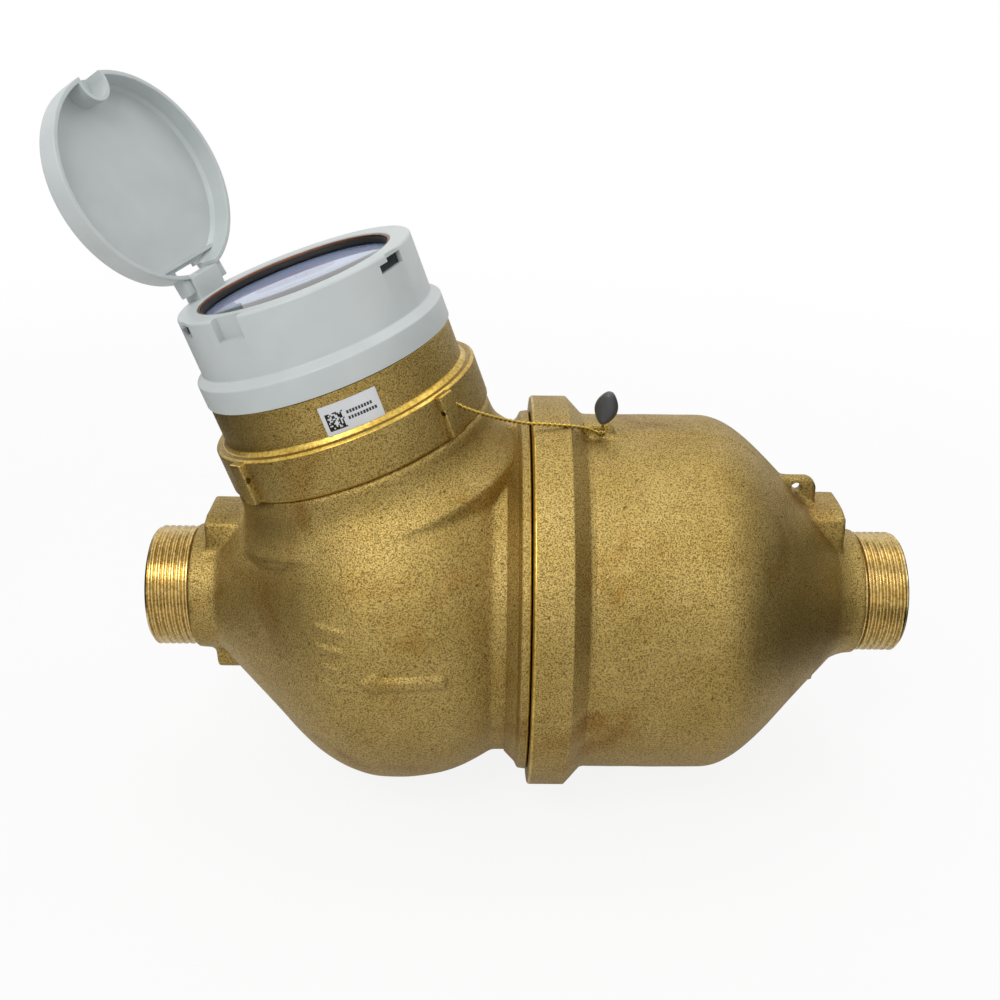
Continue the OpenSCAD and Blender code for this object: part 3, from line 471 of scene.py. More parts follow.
# Drawn copper gone brown, bright steel, and drawn brass wire
COPPER = metal("drawn_copper", "7C5340", "936650", 0.36)
STEEL = metal("stainless_steel", "A9ABAD", "B8BABC", 0.28)
WIRE_BRASS = metal("drawn_brass_wire", "A98E3E", "CBB056", 0.30, 1.2)
GLASS = window_glass()


def finish_with(made, material, angle=32):
    """Gives a piece its material and its shading."""
    made.data.materials.clear()
    made.data.materials.append(material)
    smooth_shade(made, angle)
    return made


def paint(made, material, place, chosen):
    """A second material on the faces for which chosen(r, z, lean) holds in the frame called place.

    r and z are the middle of the face; lean is its normal's share along the axis, from -1 to 1."""
    made.data.materials.append(material)
    last = len(made.data.materials) - 1
    to_place = place.inverted()
    for face in made.data.polygons:
        middle = to_place @ (face.center / MM)
        lean = (to_place.to_3x3() @ face.normal).normalized().z
        if chosen(math.hypot(middle.x, middle.y), middle.z, lean):
            face.material_index = last
    return made


def worn_edges(made, place):
    """Rubs the rounded edges of a turned form bright: wear, with a painted highlight in their brighter
    colour.
    """
    return paint(made, WORN_BRASS_AND_HIGHLIGHT, place, lambda r, z, lean: 0.25 < abs(lean) < 0.97)


# Seal wire: two strands twisted together, from the head ring to the lug on the bowl

STRAND_R = 0.36
STRAND_OFFSET = 0.33
STRAND_LAY = 3.4
WIRE_ROUTE = [
    (104, -29, 77.5), (106, -26.5, 78.5), (108.5, -25.5, 77), (113.5, -23.5, 74.5), (119, -21, 72),
    (124, -18.5, 70), (129.5, -16.5, 68.5), (134.5, -15.5, 68), (139, -15, 67.5), (144, -13.5, 66.5),
    (148.5, -11.5, 65), (151.5, -10.5, 63.5), (153.5, -10.5, 63.5), (154, -11, 65), (153, -11.5, 67),
]


def eased(points, steps):
    """Points on a smooth curve through the given ones."""
    ends = [points[0], *points, points[-1]]
    made = []
    for i in range(1, len(ends) - 2):
        p0, p1, p2, p3 = (Vector(ends[i + k]) for k in (-1, 0, 1, 2))
        for step in range(steps):
            t = step / steps
            made.append(0.5 * (2 * p1 + (p2 - p0) * t + (2 * p0 - 5 * p1 + 4 * p2 - p3) * t ** 2
                               + (3 * p1 - p0 - 3 * p2 + p3) * t ** 3))
    made.append(Vector(points[-1]))
    return made


def strand(path, phase, sides=8):
    """Points and faces of a round strand that winds round the path."""
    centres, run = [], 0.0
    side = Vector((0, 0, 1))
    frames = []
    for i, p in enumerate(path):
        along = (path[min(i + 1, len(path) - 1)] - path[max(i - 1, 0)]).normalized()
        side = (side - along * side.dot(along)).normalized()
        frames.append((along, side.copy(), along.cross(side)))
        if i:
            run += (p - path[i - 1]).length
        turn = phase + 2 * math.pi * run / STRAND_LAY
        centres.append(p + STRAND_OFFSET * (math.cos(turn) * frames[-1][1] + math.sin(turn) * frames[-1][2]))
    points = []
    for centre, (along, u, v) in zip(centres, frames):
        points += [centre + STRAND_R * (math.cos(2 * math.pi * k / sides) * u
                                        + math.sin(2 * math.pi * k / sides) * v) for k in range(sides)]
    faces = [tuple(range(sides))[::-1]]
    for i in range(len(path) - 1):
        faces += ring_faces(i * sides, (i + 1) * sides, sides)
    faces.append(tuple(range((len(path) - 1) * sides, len(path) * sides)))
    return points, faces


def seal_wire():
    path = eased(WIRE_ROUTE, 10)
    points, faces = [], []
    for phase in (0, math.pi):
        more, sides = strand(path, phase)
        faces += [tuple(v + len(points) for v in face) for face in sides]
        points += more
    made = piece("seal_wire_strands", points, faces)
    finish_with(made, WIRE_BRASS, 60)
    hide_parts("seal_wire")
    length = sum((b - a).length for a, b in zip(path, path[1:])) * MM
    return made, path, length


def lead_seal():
    """A flat lead pressed over the wire ends, in a dark plastic skin with a raised seam."""
    place = at(*WIRE_ROUTE[-1]) @ turned_by(-15) @ turned_by(12, "Y")
    points, faces = [], []
    rows, turns = 18, 28
    for i in range(rows + 1):
        t = i / rows
        wide = 1.0 + 2.7 * math.sin(math.pi * t) ** 0.8
        for k in range(turns):
            angle = 2 * math.pi * k / turns
            thick = min(1.0, 1.85 / wide)
            seam = 0.12 if abs(math.sin(angle)) < 0.15 else 0.0
            points.append(((wide + seam) * math.cos(angle), thick * wide * math.sin(angle), 11 * t))
    faces.append(tuple(range(turns))[::-1])
    for i in range(rows):
        faces += ring_faces(i * turns, (i + 1) * turns, turns)
    faces.append(tuple(range(rows * turns, (rows + 1) * turns)))
    made = piece("lead_seal_body", points, faces, place)
    finish_with(made, LEAD_SKIN, 60)
    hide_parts("lead_seal")
    return made


seal = lead_seal()
wire, wire_path, wire_length = seal_wire()


# Castings

def curve(a, b, c, d, steps):
    """A cubic curve from a to d with handles b and c."""
    made = []
    for i in range(steps + 1):
        t = i / steps
        s = 1 - t
        made.append(tuple(s ** 3 * a[k] + 3 * s * s * t * b[k] + 3 * s * t * t * c[k] + t ** 3 * d[k]
                          for k in (0, 1)))
    return made


def swap(points):
    """Turns (station, radius) points into the (radius, station) of a lathe outline."""
    return [(p[1], p[0], *p[2:]) for p in points]


BULB_LINE = (
    [(21.3, COLLAR_R), (24.3, 22.6)]
    + curve((51.9, 50.2), (59.4, 57.7), (70, 66), (84, 66), 18)
    + curve((84.5, 66), (98, 66), (106, 64), (118, 56.5), 18)
    + [(124, WAIST_R)]
)


def wrench_flats(name, low, high, height, flip=False):
    """Cast flats for a wrench, with the ridge of the mould's parting line, between two stations."""
    half = 11.8
    outline = [(1 - half, 0), (half - 1, 0), (half, 0.78 * height), (half - 0.8, height - 1.9),
               (half - 3, height - 0.3), (0.5, height), (-5.5, height - 0.3), (0.8 - half, height - 1.9),
               (-half, 0.78 * height)]
    place = Matrix(((0, 0, 1, 0), (1, 0, 0, 0), (0, 1, 0, 0), (0, 0, 0, 1)))
    if flip:
        place = turned_by(180, "X") @ place
    count = len(outline)
    points = [(x, y, z) for z in (low, high) for x, y in outline]
    faces = [tuple(range(count))[::-1], tuple(range(count, 2 * count)), *ring_faces(0, count, count)]
    return piece(name, points, faces, place)


def push_out(made, height_at):
    """Moves the points of a skin along their normals by height_at(x, y, z), all in mm."""
    moves = []
    for vertex in made.data.vertices:
        height = height_at(*(vertex.co / MM))
        if height:
            moves.append((vertex.index, vertex.normal * (height * MM)))
    for index, move in moves:
        made.data.vertices[index].co += move


def uneven(made, size, height):
    """Moves the skin in and out by a smooth noise, as a sand mould leaves it."""
    push_out(made, lambda x, y, z: height * noise.noise(Vector((x, y, z)) / size))


def depth_in(outline, x, z):
    """How far a point lies inside a closed outline; below zero outside."""
    inside = False
    nearest = 1e9
    for (ax, az), (bx, bz) in zip(outline, outline[1:] + outline[:1]):
        if (az > z) != (bz > z) and x < ax + (z - az) / (bz - az) * (bx - ax):
            inside = not inside
        along = ((x - ax) * (bx - ax) + (z - az) * (bz - az)) / ((bx - ax) ** 2 + (bz - az) ** 2)
        along = min(1, max(0, along))
        nearest = min(nearest, math.hypot(x - ax - along * (bx - ax), z - az - along * (bz - az)))
    return nearest if inside else -nearest


def raise_shapes(made, outlines, height):
    """Raises flat outlines in XZ out of the front of a cast skin, with soft edges."""
    soft = 0.35

    def raised(x, y, z):
        most = 0
        for outline in outlines if y < -20 else ():
            if min(p[0] for p in outline) - 1 < x < max(p[0] for p in outline) + 1:
                most = max(most, min(1, 0.5 + depth_in(outline, x, z) / (2 * soft)))
        return height * most

    push_out(made, raised)


FLOW_ARROW = [(77, 1.5), (83, 5.1), (83, 3.5), (104, 3.5), (104, -0.5), (83, -0.5), (83, -2.1)]
CAST_BARS = [[(low, z - 0.8), (high, z - 0.8), (high, z + 0.8), (low, z + 0.8)] for low, high, z in
             ((63.5, 72.5, 17), (63.5, 72.5, 11), (65, 71, 5), (63.5, 72.5, -1), (65, 71, -7))]


def outlet_casting():
    made = lathe("outlet_body", swap([(15, 0), (15, COLLAR_R - 0.3), *BULB_LINE, (129, 57), (129, 0)]),
                 PIPE_AXIS, turns=200)
    flare = curve((51.2, 42.7), (47.6, 46.7), (44.6, 50.7), (44.6, 56.7), 8)
    neck = lathe("neck", [(0, 31), (49.6, 31), *flare, (44.6, 59.3), (43.8, 59.7), (43.8, 60.7), (41, 60.7),
                          (41, 63), (0, 63)], REGISTER, turns=200)
    upper = wrench_flats("upper", 20.3, 36, 31)
    lower = wrench_flats("lower", 20.5, 36, 28.5, flip=True)
    lug = block("lug", (118.4, -2.5, 53.5), (127.4, 2.5, 60.5), turned_by(-5, "X"))
    combine(made, [neck, upper, lower, lug])
    cast_skin(made, 0.84, 4)
    uneven(made, 9, 0.16)
    raise_shapes(made, [FLOW_ARROW], RELIEF)
    raise_shapes(made, CAST_BARS, 0.5 * RELIEF)
    bore = lathe("bore", [(0, -1), (WATERWAY_R, -1), (WATERWAY_R, 35), (24, 37), (40, 60), (51.5, 90),
                          (51.5, 135), (0, 135)], PIPE_AXIS, turns=96)
    well = rod("well", 34, 12, 70, REGISTER, turns=96)
    combine(made, [bore, well], "DIFFERENCE")
    finish_with(made, CAST_BRASS, 70)
    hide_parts("outlet_casting")
    return made


outlet_casting()


def joint_rims():
    """The rim of the outlet casting and the heavy ring of the bowl, nearly face to face."""
    rim = lathe("outlet_rim", swap([(122.5, 55.5), (122.5, 57.0), (126, 60.5, 1), (127, 62.6, 1),
                                    (129.9, 63.0, 0.5), (129.9, 55.5)]), PIPE_AXIS, turns=240)
    finish_with(rim, CAST_BRASS)
    # The rubbed face of the rim: wear, and a painted highlight
    paint(rim, WORN_BRASS_AND_HIGHLIGHT, PIPE_AXIS, lambda r, z, lean: z > 129 and r > 60)
    ring = lathe("bowl_ring", swap([(130.4, 56.6), (130.4, RING_R, 0.8), (142.7, RING_R, 0.8),
                                    (148.2, 62.2, 2), (150.5, 61.7), (150.5, 56.6)]), PIPE_AXIS, turns=240)
    finish_with(ring, CAST_BRASS)
    # The rubbed edge of the ring: wear, and a painted highlight
    paint(ring, WORN_BRASS_AND_HIGHLIGHT, PIPE_AXIS, lambda r, z, lean: z < 131.2 and r > 67 and 0.1 < abs(lean) < 0.98)


joint_rims()


def parting_ridge(made, first, last, tilt, height):
    """The fine ridge that the two halves of the mould leave along the top of a casting."""
    def raised(x, y, z):
        if not first < x < last or z < 0:
            return 0
        off = (math.atan2(-y, z) - tilt) * math.hypot(y, z)
        return height * math.exp(-(off / 0.7) ** 2)

    push_out(made, raised)


def inlet_casting():
    line = ([(149, 56), (149, BOWL_R)]
            + curve((188.9, BOWL_R), (197.9, BOWL_R), (205.9, 54.2), (212.4, 47.7), 16)
            + [(235.5, 24.6), (238.5, 23.1), (241.5, COLLAR_R), (245, COLLAR_R - 0.3), (245, 0), (149, 0)])
    made = lathe("inlet_body", swap(line), PIPE_AXIS, turns=200)
    upper = wrench_flats("upper", 224, 237.3, 34.8)
    lower = wrench_flats("lower", 224, 233, 32.3, flip=True)
    lug_tilt = math.radians(6)
    tilt = Matrix.Rotation(lug_tilt, 4, "X")
    lug = block("lug", (147.2, -2.5, 58.9), (154.2, 2.5, 65.7), tilt)
    boss = rod("boss", 3.4, -2.5, 2.5, tilt @ at(154.2, 0, 62.3) @ ACROSS)
    tab = block("tab", (214.9, -2.2, 27.1), (223.9, 2.2, 44.3), Matrix.Identity(4))
    tab_foot = block("tab_foot", (214.9, -2.2, 27.1), (228.1, 2.2, 40.1), Matrix.Identity(4))
    tab_corner = rod("tab_corner", 4.2, -2.2, 2.2, at(223.9, 0, 40.1) @ ACROSS, turns=48)
    combine(made, [upper, lower, lug, boss, tab, tab_foot, tab_corner])
    cast_skin(made, 0.8, 4)
    uneven(made, 9, 0.16)
    parting_ridge(made, 154, 205, lug_tilt, 0.35)
    bore = lathe("bore", [(0, 140), (56.6, 140), (56.6, 152.6), (55.9, 152.6), (55.9, 184), (49, 198),
                          (18, 229), (WATERWAY_R, 230), (WATERWAY_R, 262), (0, 262)], PIPE_AXIS, turns=96)
    wire_hole = rod("hole", 1.1, -5, 5, tilt @ at(153.2, 0, 63.3) @ ACROSS, turns=24)
    tab_hole = rod("hole", 2, -5, 5, at(221.3, 0, 40.5) @ ACROSS, turns=24)
    combine(made, [bore, wire_hole, tab_hole], "DIFFERENCE")
    finish_with(made, CAST_BRASS, 70)
    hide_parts("inlet_bowl")
    return made


inlet_casting()


def pipe_thread(name, place):
    """A worn helical pipe thread with an end chamfer, run out at the collar; its end lies at z = 0."""
    depth = 0.85
    rows, turns = 150, 128
    points = []
    for i in range(rows + 1):
        z = THREAD_LENGTH * i / rows
        for k in range(turns):
            angle = 2 * math.pi * k / turns
            phase = (z / THREAD_PITCH - k / turns) % 1.0
            wave = 0.5 - 0.5 * math.cos(2 * math.pi * phase)
            crest = min(1.0, max(0.0, 1.25 * wave - 0.12))
            out = min(1.0, max(0.0, (THREAD_LENGTH - z) / 1.5))
            r = min(THREAD_R - depth + depth * crest * out, 19.6 + 1.2 * z)
            points.append((r * math.cos(angle), r * math.sin(angle), z))
    faces = []
    for i in range(rows):
        faces += ring_faces(i * turns, (i + 1) * turns, turns)
    # End face, bore and back
    start = len(points)
    for r, z in ((14.2, 0), (WATERWAY_R + 0.02, 0.7), (WATERWAY_R + 0.02, THREAD_LENGTH)):
        points += circle(r, z, turns)
    loops = [0, start, start + turns, start + 2 * turns, rows * turns]
    for a, b in zip(loops, loops[1:]):
        faces += ring_faces(a, b, turns)
    made = piece(name, points, faces, place)
    return finish_with(made, THREAD_BRASS, 50)


pipe_thread("outlet_thread", PIPE_AXIS)
pipe_thread("inlet_thread", at(LAYING_LENGTH, 0, 0) @ turned_by(180) @ PIPE_AXIS)


# Head ring

def head_ring():
    made = lathe("head_band", [
        (41.2, 60.7), (44.6, 60.7, 0.3), (BAND_R, 61.4, 0.4), (BAND_R, BAND_TOP - 0.7, 0.4),
        (BAND_R - 0.8, BAND_TOP, 0.3), (42.4, BAND_TOP, 0.5), (CUP_R, BAND_TOP + 1.4, 1),
        (CUP_R, CUP_TOP, 0.3), (39.45, CUP_TOP), (39.45, 96.2), (37.1, 96.2), (37.1, 75.7), (34, 75.7),
        (34, 72.3), (41.2, 72.3)],
        REGISTER, turns=240)
    lugs = []
    for azimuth in (-134, -39, 51, 136):
        turned = REGISTER @ turned_by(azimuth)
        lug = block("lug", (42.1, -3, 61.1), (47.3, 3, 75.3), turned, bevel=0.6, segments=3)
        hole = rod("hole", 0.9, -6, 6, turned @ at(46.2, 0, 69.7) @ ACROSS, turns=24)
        combine(lug, [hole], "DIFFERENCE")
        lugs.append(lug)
    combine(made, lugs)
    finish_with(made, CAST_BRASS)
    # Rubbed edges: wear, and a painted highlight
    worn_edges(made, REGISTER)
    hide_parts("head_ring")
    return made


head_ring()


# Register

def shroud():
    made = lathe("shroud_shell", [
        (39.75, 90.0), (SKIRT_R, 90.0, 0.3), (SKIRT_R, 97.7, 0.8), (SHROUD_R, 100.0, 0.8),
        (SHROUD_R, SHROUD_TOP, 1.0), (OPENING_R, SHROUD_TOP, 0.5), (OPENING_R, CAN_TOP + 0.02, 0.1),
        (CAN_R + 0.05, CAN_TOP + 0.02), (CAN_R + 0.05, 96.6), (39.75, 96.6)],
        REGISTER, "register", turns=240)
    cuts = []
    for azimuth in CLIP_AZIMUTHS:
        turned = REGISTER @ turned_by(azimuth)
        cuts.append(block("cut", (CAN_R - 1, -5.7, 114.5), (42, 5.7, 117.1), turned))
        cuts.append(block("cut", (CAN_R - 1, -1.9, 114.5), (42, 5.7, 118.1), turned))
        cuts.append(block("cut", (SHROUD_R - 0.5, -1.9, 117.8), (42, 5.7, 121), turned))
    turned = REGISTER @ turned_by(-115)
    cuts.append(block("cut", (CAN_R + 0.8, -5, 112.5), (42, 5, 121), turned))
    tongue = block("tongue", (-3.5, -7.2, -4.6), (2.7, 7.2, 3.4), HINGE, "register", bevel=0.5)
    pin_room = rod("pin_room", 1.2, -8, 8, HINGE @ ACROSS, "register", turns=32)
    combine(tongue, [pin_room], "DIFFERENCE")
    combine(made, cuts, "DIFFERENCE")
    combine(made, [tongue])
    finish_with(made, GREY_PLASTIC)
    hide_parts("shroud")
    return made


shroud()


def register_can():
    """Drawn copper can: its lip stands up round the window; a pale blue band inside it is a painted
    reflection, made pale as painted light where the wall lies in shade; its outer wall is painted dark as
    painted shade, and dark blocks of painted shade stand behind the shroud's clip windows."""
    made = lathe("can_shell", [
        (0, 72.3), (33, 72.3, 1), (33, 76, 0.5), (CAN_R, 76, 1), (CAN_R, CAN_TOP, 0.3), (32.45, CAN_TOP),
        (32.45, 119.1, 0.2), (31.7, 119.1, 0.2), (31.7, WINDOW_TOP), (34.45, WINDOW_TOP), (34.45, 77),
        (32.2, 77), (32.2, 73.1), (0, 73.1)], REGISTER, "register", turns=240)
    finish_with(made, COPPER)
    # The outer wall, seen through the clip windows, painted dark: painted shade
    paint(made, DARK_PLASTIC, REGISTER, lambda r, z, lean: r > 35)
    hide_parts("register_can")
    # A pale blue band inside the can: painted reflection, made pale as painted light on the shaded wall
    liner = lathe("can_painted_reflection", [(34.0, DIAL_TOP), (34.4, DIAL_TOP), (34.4, 111.85), (34.0, 111.85)],
                  REGISTER, "register", turns=240)
    finish_with(liner, LINER_REFLECTION_PAINT)
    # Dark blocks behind the clip windows: painted shade
    for azimuth in CLIP_AZIMUTHS:
        shade_block = block("clip_painted_shade", (CAN_R + 0.1, -5.6, 114.6), (CAN_R + 1.9, 5.6, 118.0),
                      REGISTER @ turned_by(azimuth), "register")
        finish_with(shade_block, DARK_PLASTIC)


register_can()


def window():
    made = lathe("window_pane", [(0, WINDOW_LOW), (34.35, WINDOW_LOW, 0.2), (34.35, WINDOW_TOP, 0.2),
                                 (0, WINDOW_TOP)], REGISTER, "register", turns=160)
    finish_with(made, GLASS)
    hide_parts("window")
    gasket = lathe("gasket_ring", [(31.9, 111.9, 0.2), (34.35, 111.9), (34.35, WINDOW_LOW - 0.02),
                                   (31.9, WINDOW_LOW - 0.02, 0.2)], REGISTER, "register", turns=160)
    finish_with(gasket, RUBBER)
    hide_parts("window_gasket")
    lip = lathe("gasket_lip", [(31.2, WINDOW_TOP + 0.02, 0.2), (31.65, WINDOW_TOP + 0.02),
                               (31.65, 118.4, 0.2), (31.3, 118.4, 0.2)], REGISTER, "register", turns=160)
    finish_with(lip, RUBBER)


window()


# Figures and print on the dial, the drums and the label

def numeral(figure, size):
    """Points in mm and faces of a plain figure, centred, in local XY."""
    text = bpy.data.curves.new("numeral", "FONT")
    text.body = figure
    text.size = size
    text.extrude = 0.02
    text.resolution_u = 3
    text.align_x = "CENTER"
    text.align_y = "CENTER"
    shown = bpy.data.objects.new("numeral", text)
    scene.collection.objects.link(shown)
    bpy.context.view_layer.update()
    mesh = bpy.data.meshes.new_from_object(shown.evaluated_get(bpy.context.evaluated_depsgraph_get()))
    bpy.data.objects.remove(shown)
    return [v.co.copy() for v in mesh.vertices], [tuple(p.vertices) for p in mesh.polygons]


def joined(name, shapes, place, body, material):
    """One piece from many (points, faces, place) shapes."""
    points, faces = [], []
    for corners, sides, spot in shapes:
        faces += [tuple(v + len(points) for v in side) for side in sides]
        points += [tuple(spot @ p) for p in corners]
    return finish_with(piece(name, points, faces, place, body), material)


def dial_print():
    """A ring of ticks at the edge, a frame round the drums, and a scale of ten round the pointer."""
    low, high = DIAL_TOP + 0.03, DIAL_TOP + 0.06
    shapes = []
    for k in range(60):
        length = 1.6 if k % 5 else 2.6
        shapes.append((*box_shape((31.8 - length, -0.12, low), (31.8, 0.12, high)), turned_by(6 * k)))
    for k in range(40):
        shapes.append((*box_shape((6.9 if k % 4 else 6.5, -0.08, low), (7.5, 0.08, high)),
                       at(*POINTER_AT, 0) @ turned_by(9 * k)))
    for low_corner, high_corner in (((-16, 12.6), (16, 13)), ((-16, 5), (16, 5.4)),
                                    ((-16, 5), (-15.6, 13)), ((15.6, 5), (16, 13))):
        shapes.append((*box_shape((*low_corner, low), (*high_corner, high)), Matrix.Identity(4)))
    for k in range(10):
        angle = math.radians(90 - 36 * k)
        spot = at(POINTER_AT[0] + 9 * math.cos(angle), POINTER_AT[1] + 9 * math.sin(angle), low)
        shapes.append((*numeral(str(k), 2.2), spot))
    joined("dial_print", shapes, DIAL, "register", PRINT_INK)
    # A pale blue ring on the dial: painted reflection of blue surroundings in the glass
    field = lathe("dial_reflection_field", [(28, DIAL_TOP + 0.005), (33.9, DIAL_TOP + 0.005), (33.9, DIAL_TOP + 0.02),
                                 (28, DIAL_TOP + 0.02)], DIAL, "register")
    finish_with(field, DIAL_REFLECTION_BLUE)


def drum_figures():
    """Ten figures round each drum of the counter."""
    reading = (7, 4, 1, 0, 0, 0)
    figures = [numeral(str(k), 3.0) for k in range(10)]
    for index, shown in enumerate(reading, start=1):
        x = (3.5 - index) * DRUM_PITCH
        shapes = [(*figures[k], at(x, DRUM_ROW_Y, DRUM_H) @ turned_by(36 * (k - shown), "X")
                   @ at(0, 0, DRUM_R + 0.03)) for k in range(10)]
        joined(f"drum_figures_{index}", shapes, DIAL, f"drum_{index}", LABEL_FILM)


def label_print():
    """A square of small cells and two rows of dashes on the label."""
    chance = random.Random(7)
    r = CUP_R + 0.31
    shapes = []

    def patch(azimuth, height, wide, tall):
        corners = (r, -wide / 2, height - tall / 2), (r + 0.03, wide / 2, height + tall / 2)
        shapes.append((*box_shape(*corners), turned_by(azimuth)))

    cell = 0.46
    step = math.degrees(cell / r)
    for column in range(12):
        for row in range(12):
            if column == 0 or row == 0 or chance.random() < 0.5:
                patch(-87 + step * column, 78.6 + cell * row, cell, cell)
    for row, height in enumerate((82.6, 80.7)):
        for k in range(9 + row):
            patch(-77.8 + 1.3 * k, height, 0.62 + 0.16 * chance.random(), 1.0)
    joined("label_print", shapes, REGISTER, "housing", PRINT_INK)


dial_print()
drum_figures()
label_print()


# Lid, standing open

def lid():
    made = lathe("lid_shell", [
        (0, 126.6), (31.5, 126.6), (32.7, 125.5, 0.6), (33.2, LID_LOW, 0.3), (LID_R, LID_LOW, 0.3),
        (34.5, 125.9), (34.3, 127.5, 0.5), (33.4, LID_TOP, 0.7), (31.3, LID_TOP), (0, LID_TOP)],
        LID, "lid", turns=240)
    notch_at = LID_R - 3.1
    outer = rod("notch", 6.1, LID_LOW, 127.9, LID @ at(-notch_at, 0, 0), "lid", turns=64)
    outer_wall = block("notch_wall", (-LID_R - 4, -6.1, LID_LOW), (-notch_at, 6.1, 127.9), LID, "lid")
    combine(outer, [outer_wall])
    limit = rod("limit", 34.4, LID_LOW, 128, LID, "lid", turns=240)
    combine(outer, [limit], "INTERSECT")
    hinge_line = LID @ at(HINGE_RHO, 0, HINGE_H)
    rib = block("rib", (-8.9, -16, 1.5), (-7.7, 16, 3.6), hinge_line, "lid")
    combine(made, [outer, rib])
    for low, high in ((-10.3, -7.5), (7.5, 10.3)):
        combine(made, [block("ear", (-4.5, low, -2.9), (1.9, high, 1.9), hinge_line, "lid", bevel=0.35)])
    inner = rod("notch_room", 4.8, 118.8, 126.4, LID @ at(-notch_at, 0, 0), "lid", turns=64)
    inner_wall = block("room_wall", (-LID_R - 5, -4.8, 118.8), (-notch_at, 4.8, 126.4), LID, "lid")
    tongue_room = block("tongue_room", (-5.2, -7.5, -5), (4.8, 7.5, 7.5), hinge_line, "lid")
    hinge_window = block("hinge_window", (-6.5, -5.2, -5), (-1.5, 5.2, 7.5), hinge_line, "lid")
    pin_room = rod("pin_room", 1.25, -8.7, 8.7, hinge_line @ ACROSS, "lid", turns=32)
    combine(made, [inner, inner_wall, tongue_room, hinge_window, pin_room], "DIFFERENCE")
    finish_with(made, GREY_PLASTIC)
    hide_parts("lid")
    return made


lid()


# Pieces of the part that keep their own shape

NODE_FINISH = {
    "joint_seal": RUBBER, "spout_seal": RUBBER, "neck_seal": RUBBER,
    "strainer": STEEL, "chamber_screws": STEEL, "division_plate": STEEL, "crank_spindle": STEEL,
    "drum_axle": STEEL, "hinge_pin": STEEL, "follower_spindle": STEEL,
    "chamber_body": WHITE_PLASTIC, "chamber_cover": WHITE_PLASTIC, "movement_frame": WHITE_PLASTIC,
    "star_gear": WHITE_PLASTIC, "pointer_gear": WHITE_PLASTIC, "dial": DIAL_PLASTIC,
    "piston": DARK_PLASTIC, "drive_magnet": MAGNET, "follower_magnet": MAGNET,
    "pressure_plate": TURNED_BRASS, "label": LABEL_FILM,
    "flow_star": RED_PLASTIC, "pointer": RED_PLASTIC,
    "drum_1": RED_PLASTIC, "drum_2": DARK_PLASTIC, "drum_3": DARK_PLASTIC, "drum_4": DARK_PLASTIC,
    "drum_5": DARK_PLASTIC, "drum_6": DARK_PLASTIC,
}
for name, finish in NODE_FINISH.items():
    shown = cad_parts[name]
    if not shown.material_slots:
        shown.data.materials.append(finish)
    for material_slot in shown.material_slots:
        material_slot.material = finish


# Floor, lamps and surroundings

FLOOR_Z = cad_box[0][2] - 0.0002
BOARD_Z = cad_box[0][2] + 0.0005


def stage_sheet(name, corners, material):
    """A flat sheet of the studio, in metres."""
    mesh = bpy.data.meshes.new(name)
    mesh.from_pydata(corners, [], [(0, 1, 2, 3)])
    mesh.materials.append(material)
    made = bpy.data.objects.new(name, mesh)
    scene.collection.objects.link(made)
    return made


def pale_floor():
    """Matt pale paper, which runs out to plain white away from the part and keeps its shadow near it."""
    material, tree, shader, place = new_material("pale_floor")
    tree.links.new(ramp(tree, grain(tree, place, 60), (0.3, "E2E2E2"), (0.7, "E6E6E6")),
                   shader.inputs["Base Color"])
    shader.inputs["Roughness"].default_value = 0.9
    seen = node(tree, "ShaderNodeLightPath")
    glow = node(tree, "ShaderNodeEmission", {"Color": (1, 1, 1, 1), "Strength": 1.0})
    away = node(tree, "ShaderNodeVectorMath", {0: place}, operation="LENGTH").outputs["Value"]
    white = node(tree, "ShaderNodeMapRange", {"Value": away, "From Min": 0.25, "From Max": 0.8,
                 "To Min": 0.88, "To Max": 1.0}).outputs[0]
    share = node(tree, "ShaderNodeMath", {0: seen.outputs["Is Camera Ray"], 1: white},
                 operation="MULTIPLY").outputs[0]
    mirrored = node(tree, "ShaderNodeMath", {0: seen.outputs["Is Glossy Ray"], 1: 0.25},
                    operation="MULTIPLY").outputs[0]
    either = node(tree, "ShaderNodeMath", {0: share, 1: mirrored}, operation="MAXIMUM").outputs[0]
    mixed = node(tree, "ShaderNodeMixShader", {"Fac": either, 1: shader.outputs[0], 2: glow.outputs[0]})
    output = next(n for n in tree.nodes if n.type == "OUTPUT_MATERIAL")
    tree.links.new(mixed.outputs[0], output.inputs["Surface"])
    return material


stage_sheet("floor", [(-14, -14, FLOOR_Z), (14, -14, FLOOR_Z), (14, 14, FLOOR_Z), (-14, 14, FLOOR_Z)],
            pale_floor())


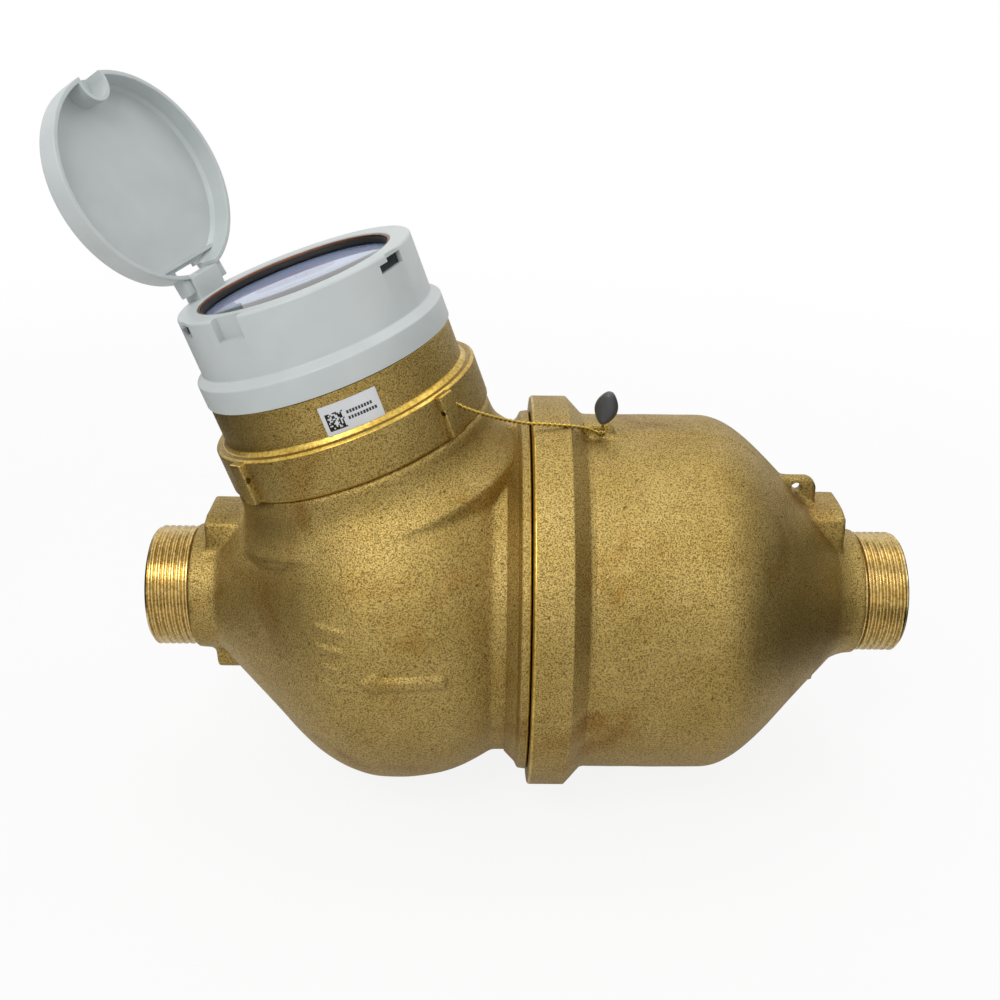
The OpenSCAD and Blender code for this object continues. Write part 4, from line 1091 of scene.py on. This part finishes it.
def black_board(name, corners):
    """A black board beside the part, which only metal and gloss mirror, for dark flanks on the brass."""
    made = stage_sheet(name, corners, BLACK_FLOCK)
    made.visible_camera = False
    made.visible_shadow = False
    made.visible_diffuse = False
    made.visible_transmission = False


for side, near, far, wall_top in (("left", -0.11, -0.9, 0.15), ("right", 0.30, 1.1, 0.4)):
    low_x, high_x = min(near, far), max(near, far)
    black_board(f"{side}_board", [(low_x, -0.5, BOARD_Z), (high_x, -0.5, BOARD_Z), (high_x, 0.7, BOARD_Z),
                                  (low_x, 0.7, BOARD_Z)])
    black_board(f"{side}_wall", [(far, -0.5, BOARD_Z), (far, 0.7, BOARD_Z), (far, 0.7, wall_top),
                                 (far, -0.5, wall_top)])


def lamp(name, place, aim, size, power):
    light = bpy.data.lights.new(name, "AREA")
    light.shape = "RECTANGLE"
    light.size, light.size_y = size
    light.energy = power
    made = bpy.data.objects.new(name, light)
    made.location = place
    made.rotation_euler = (Vector(aim) - Vector(place)).to_track_quat("-Z", "Y").to_euler()
    scene.collection.objects.link(made)


lamp("key_lamp", (-0.25, -0.75, 0.95), (0.12, 0, 0.03), (0.7, 0.5), 5.5)
lamp("top_lamp", (0.25, 0.25, 1.1), (0.13, 0, 0.03), (0.9, 0.5), 2)


def surroundings():
    world = bpy.data.worlds.new("studio")
    world.use_nodes = True
    scene.world = world
    tree = world.node_tree
    tree.nodes.clear()
    seen = node(tree, "ShaderNodeLightPath")
    soft = node(tree, "ShaderNodeBackground", {"Color": (1, 1, 1, 1), "Strength": 0.64})
    white = node(tree, "ShaderNodeBackground", {"Color": (1, 1, 1, 1), "Strength": 1.0})
    direct = node(tree, "ShaderNodeMath", {0: seen.outputs["Is Camera Ray"],
                  1: seen.outputs["Is Transmission Ray"]}, operation="MAXIMUM").outputs[0]
    shown = node(tree, "ShaderNodeMath", {0: direct, 1: seen.outputs["Is Glossy Ray"]},
                 operation="MAXIMUM").outputs[0]
    mixed = node(tree, "ShaderNodeMixShader", {"Fac": shown, 1: soft.outputs[0], 2: white.outputs[0]})
    node(tree, "ShaderNodeOutputWorld", {"Surface": mixed.outputs[0]})


surroundings()
scene.view_settings.view_transform = "Standard"
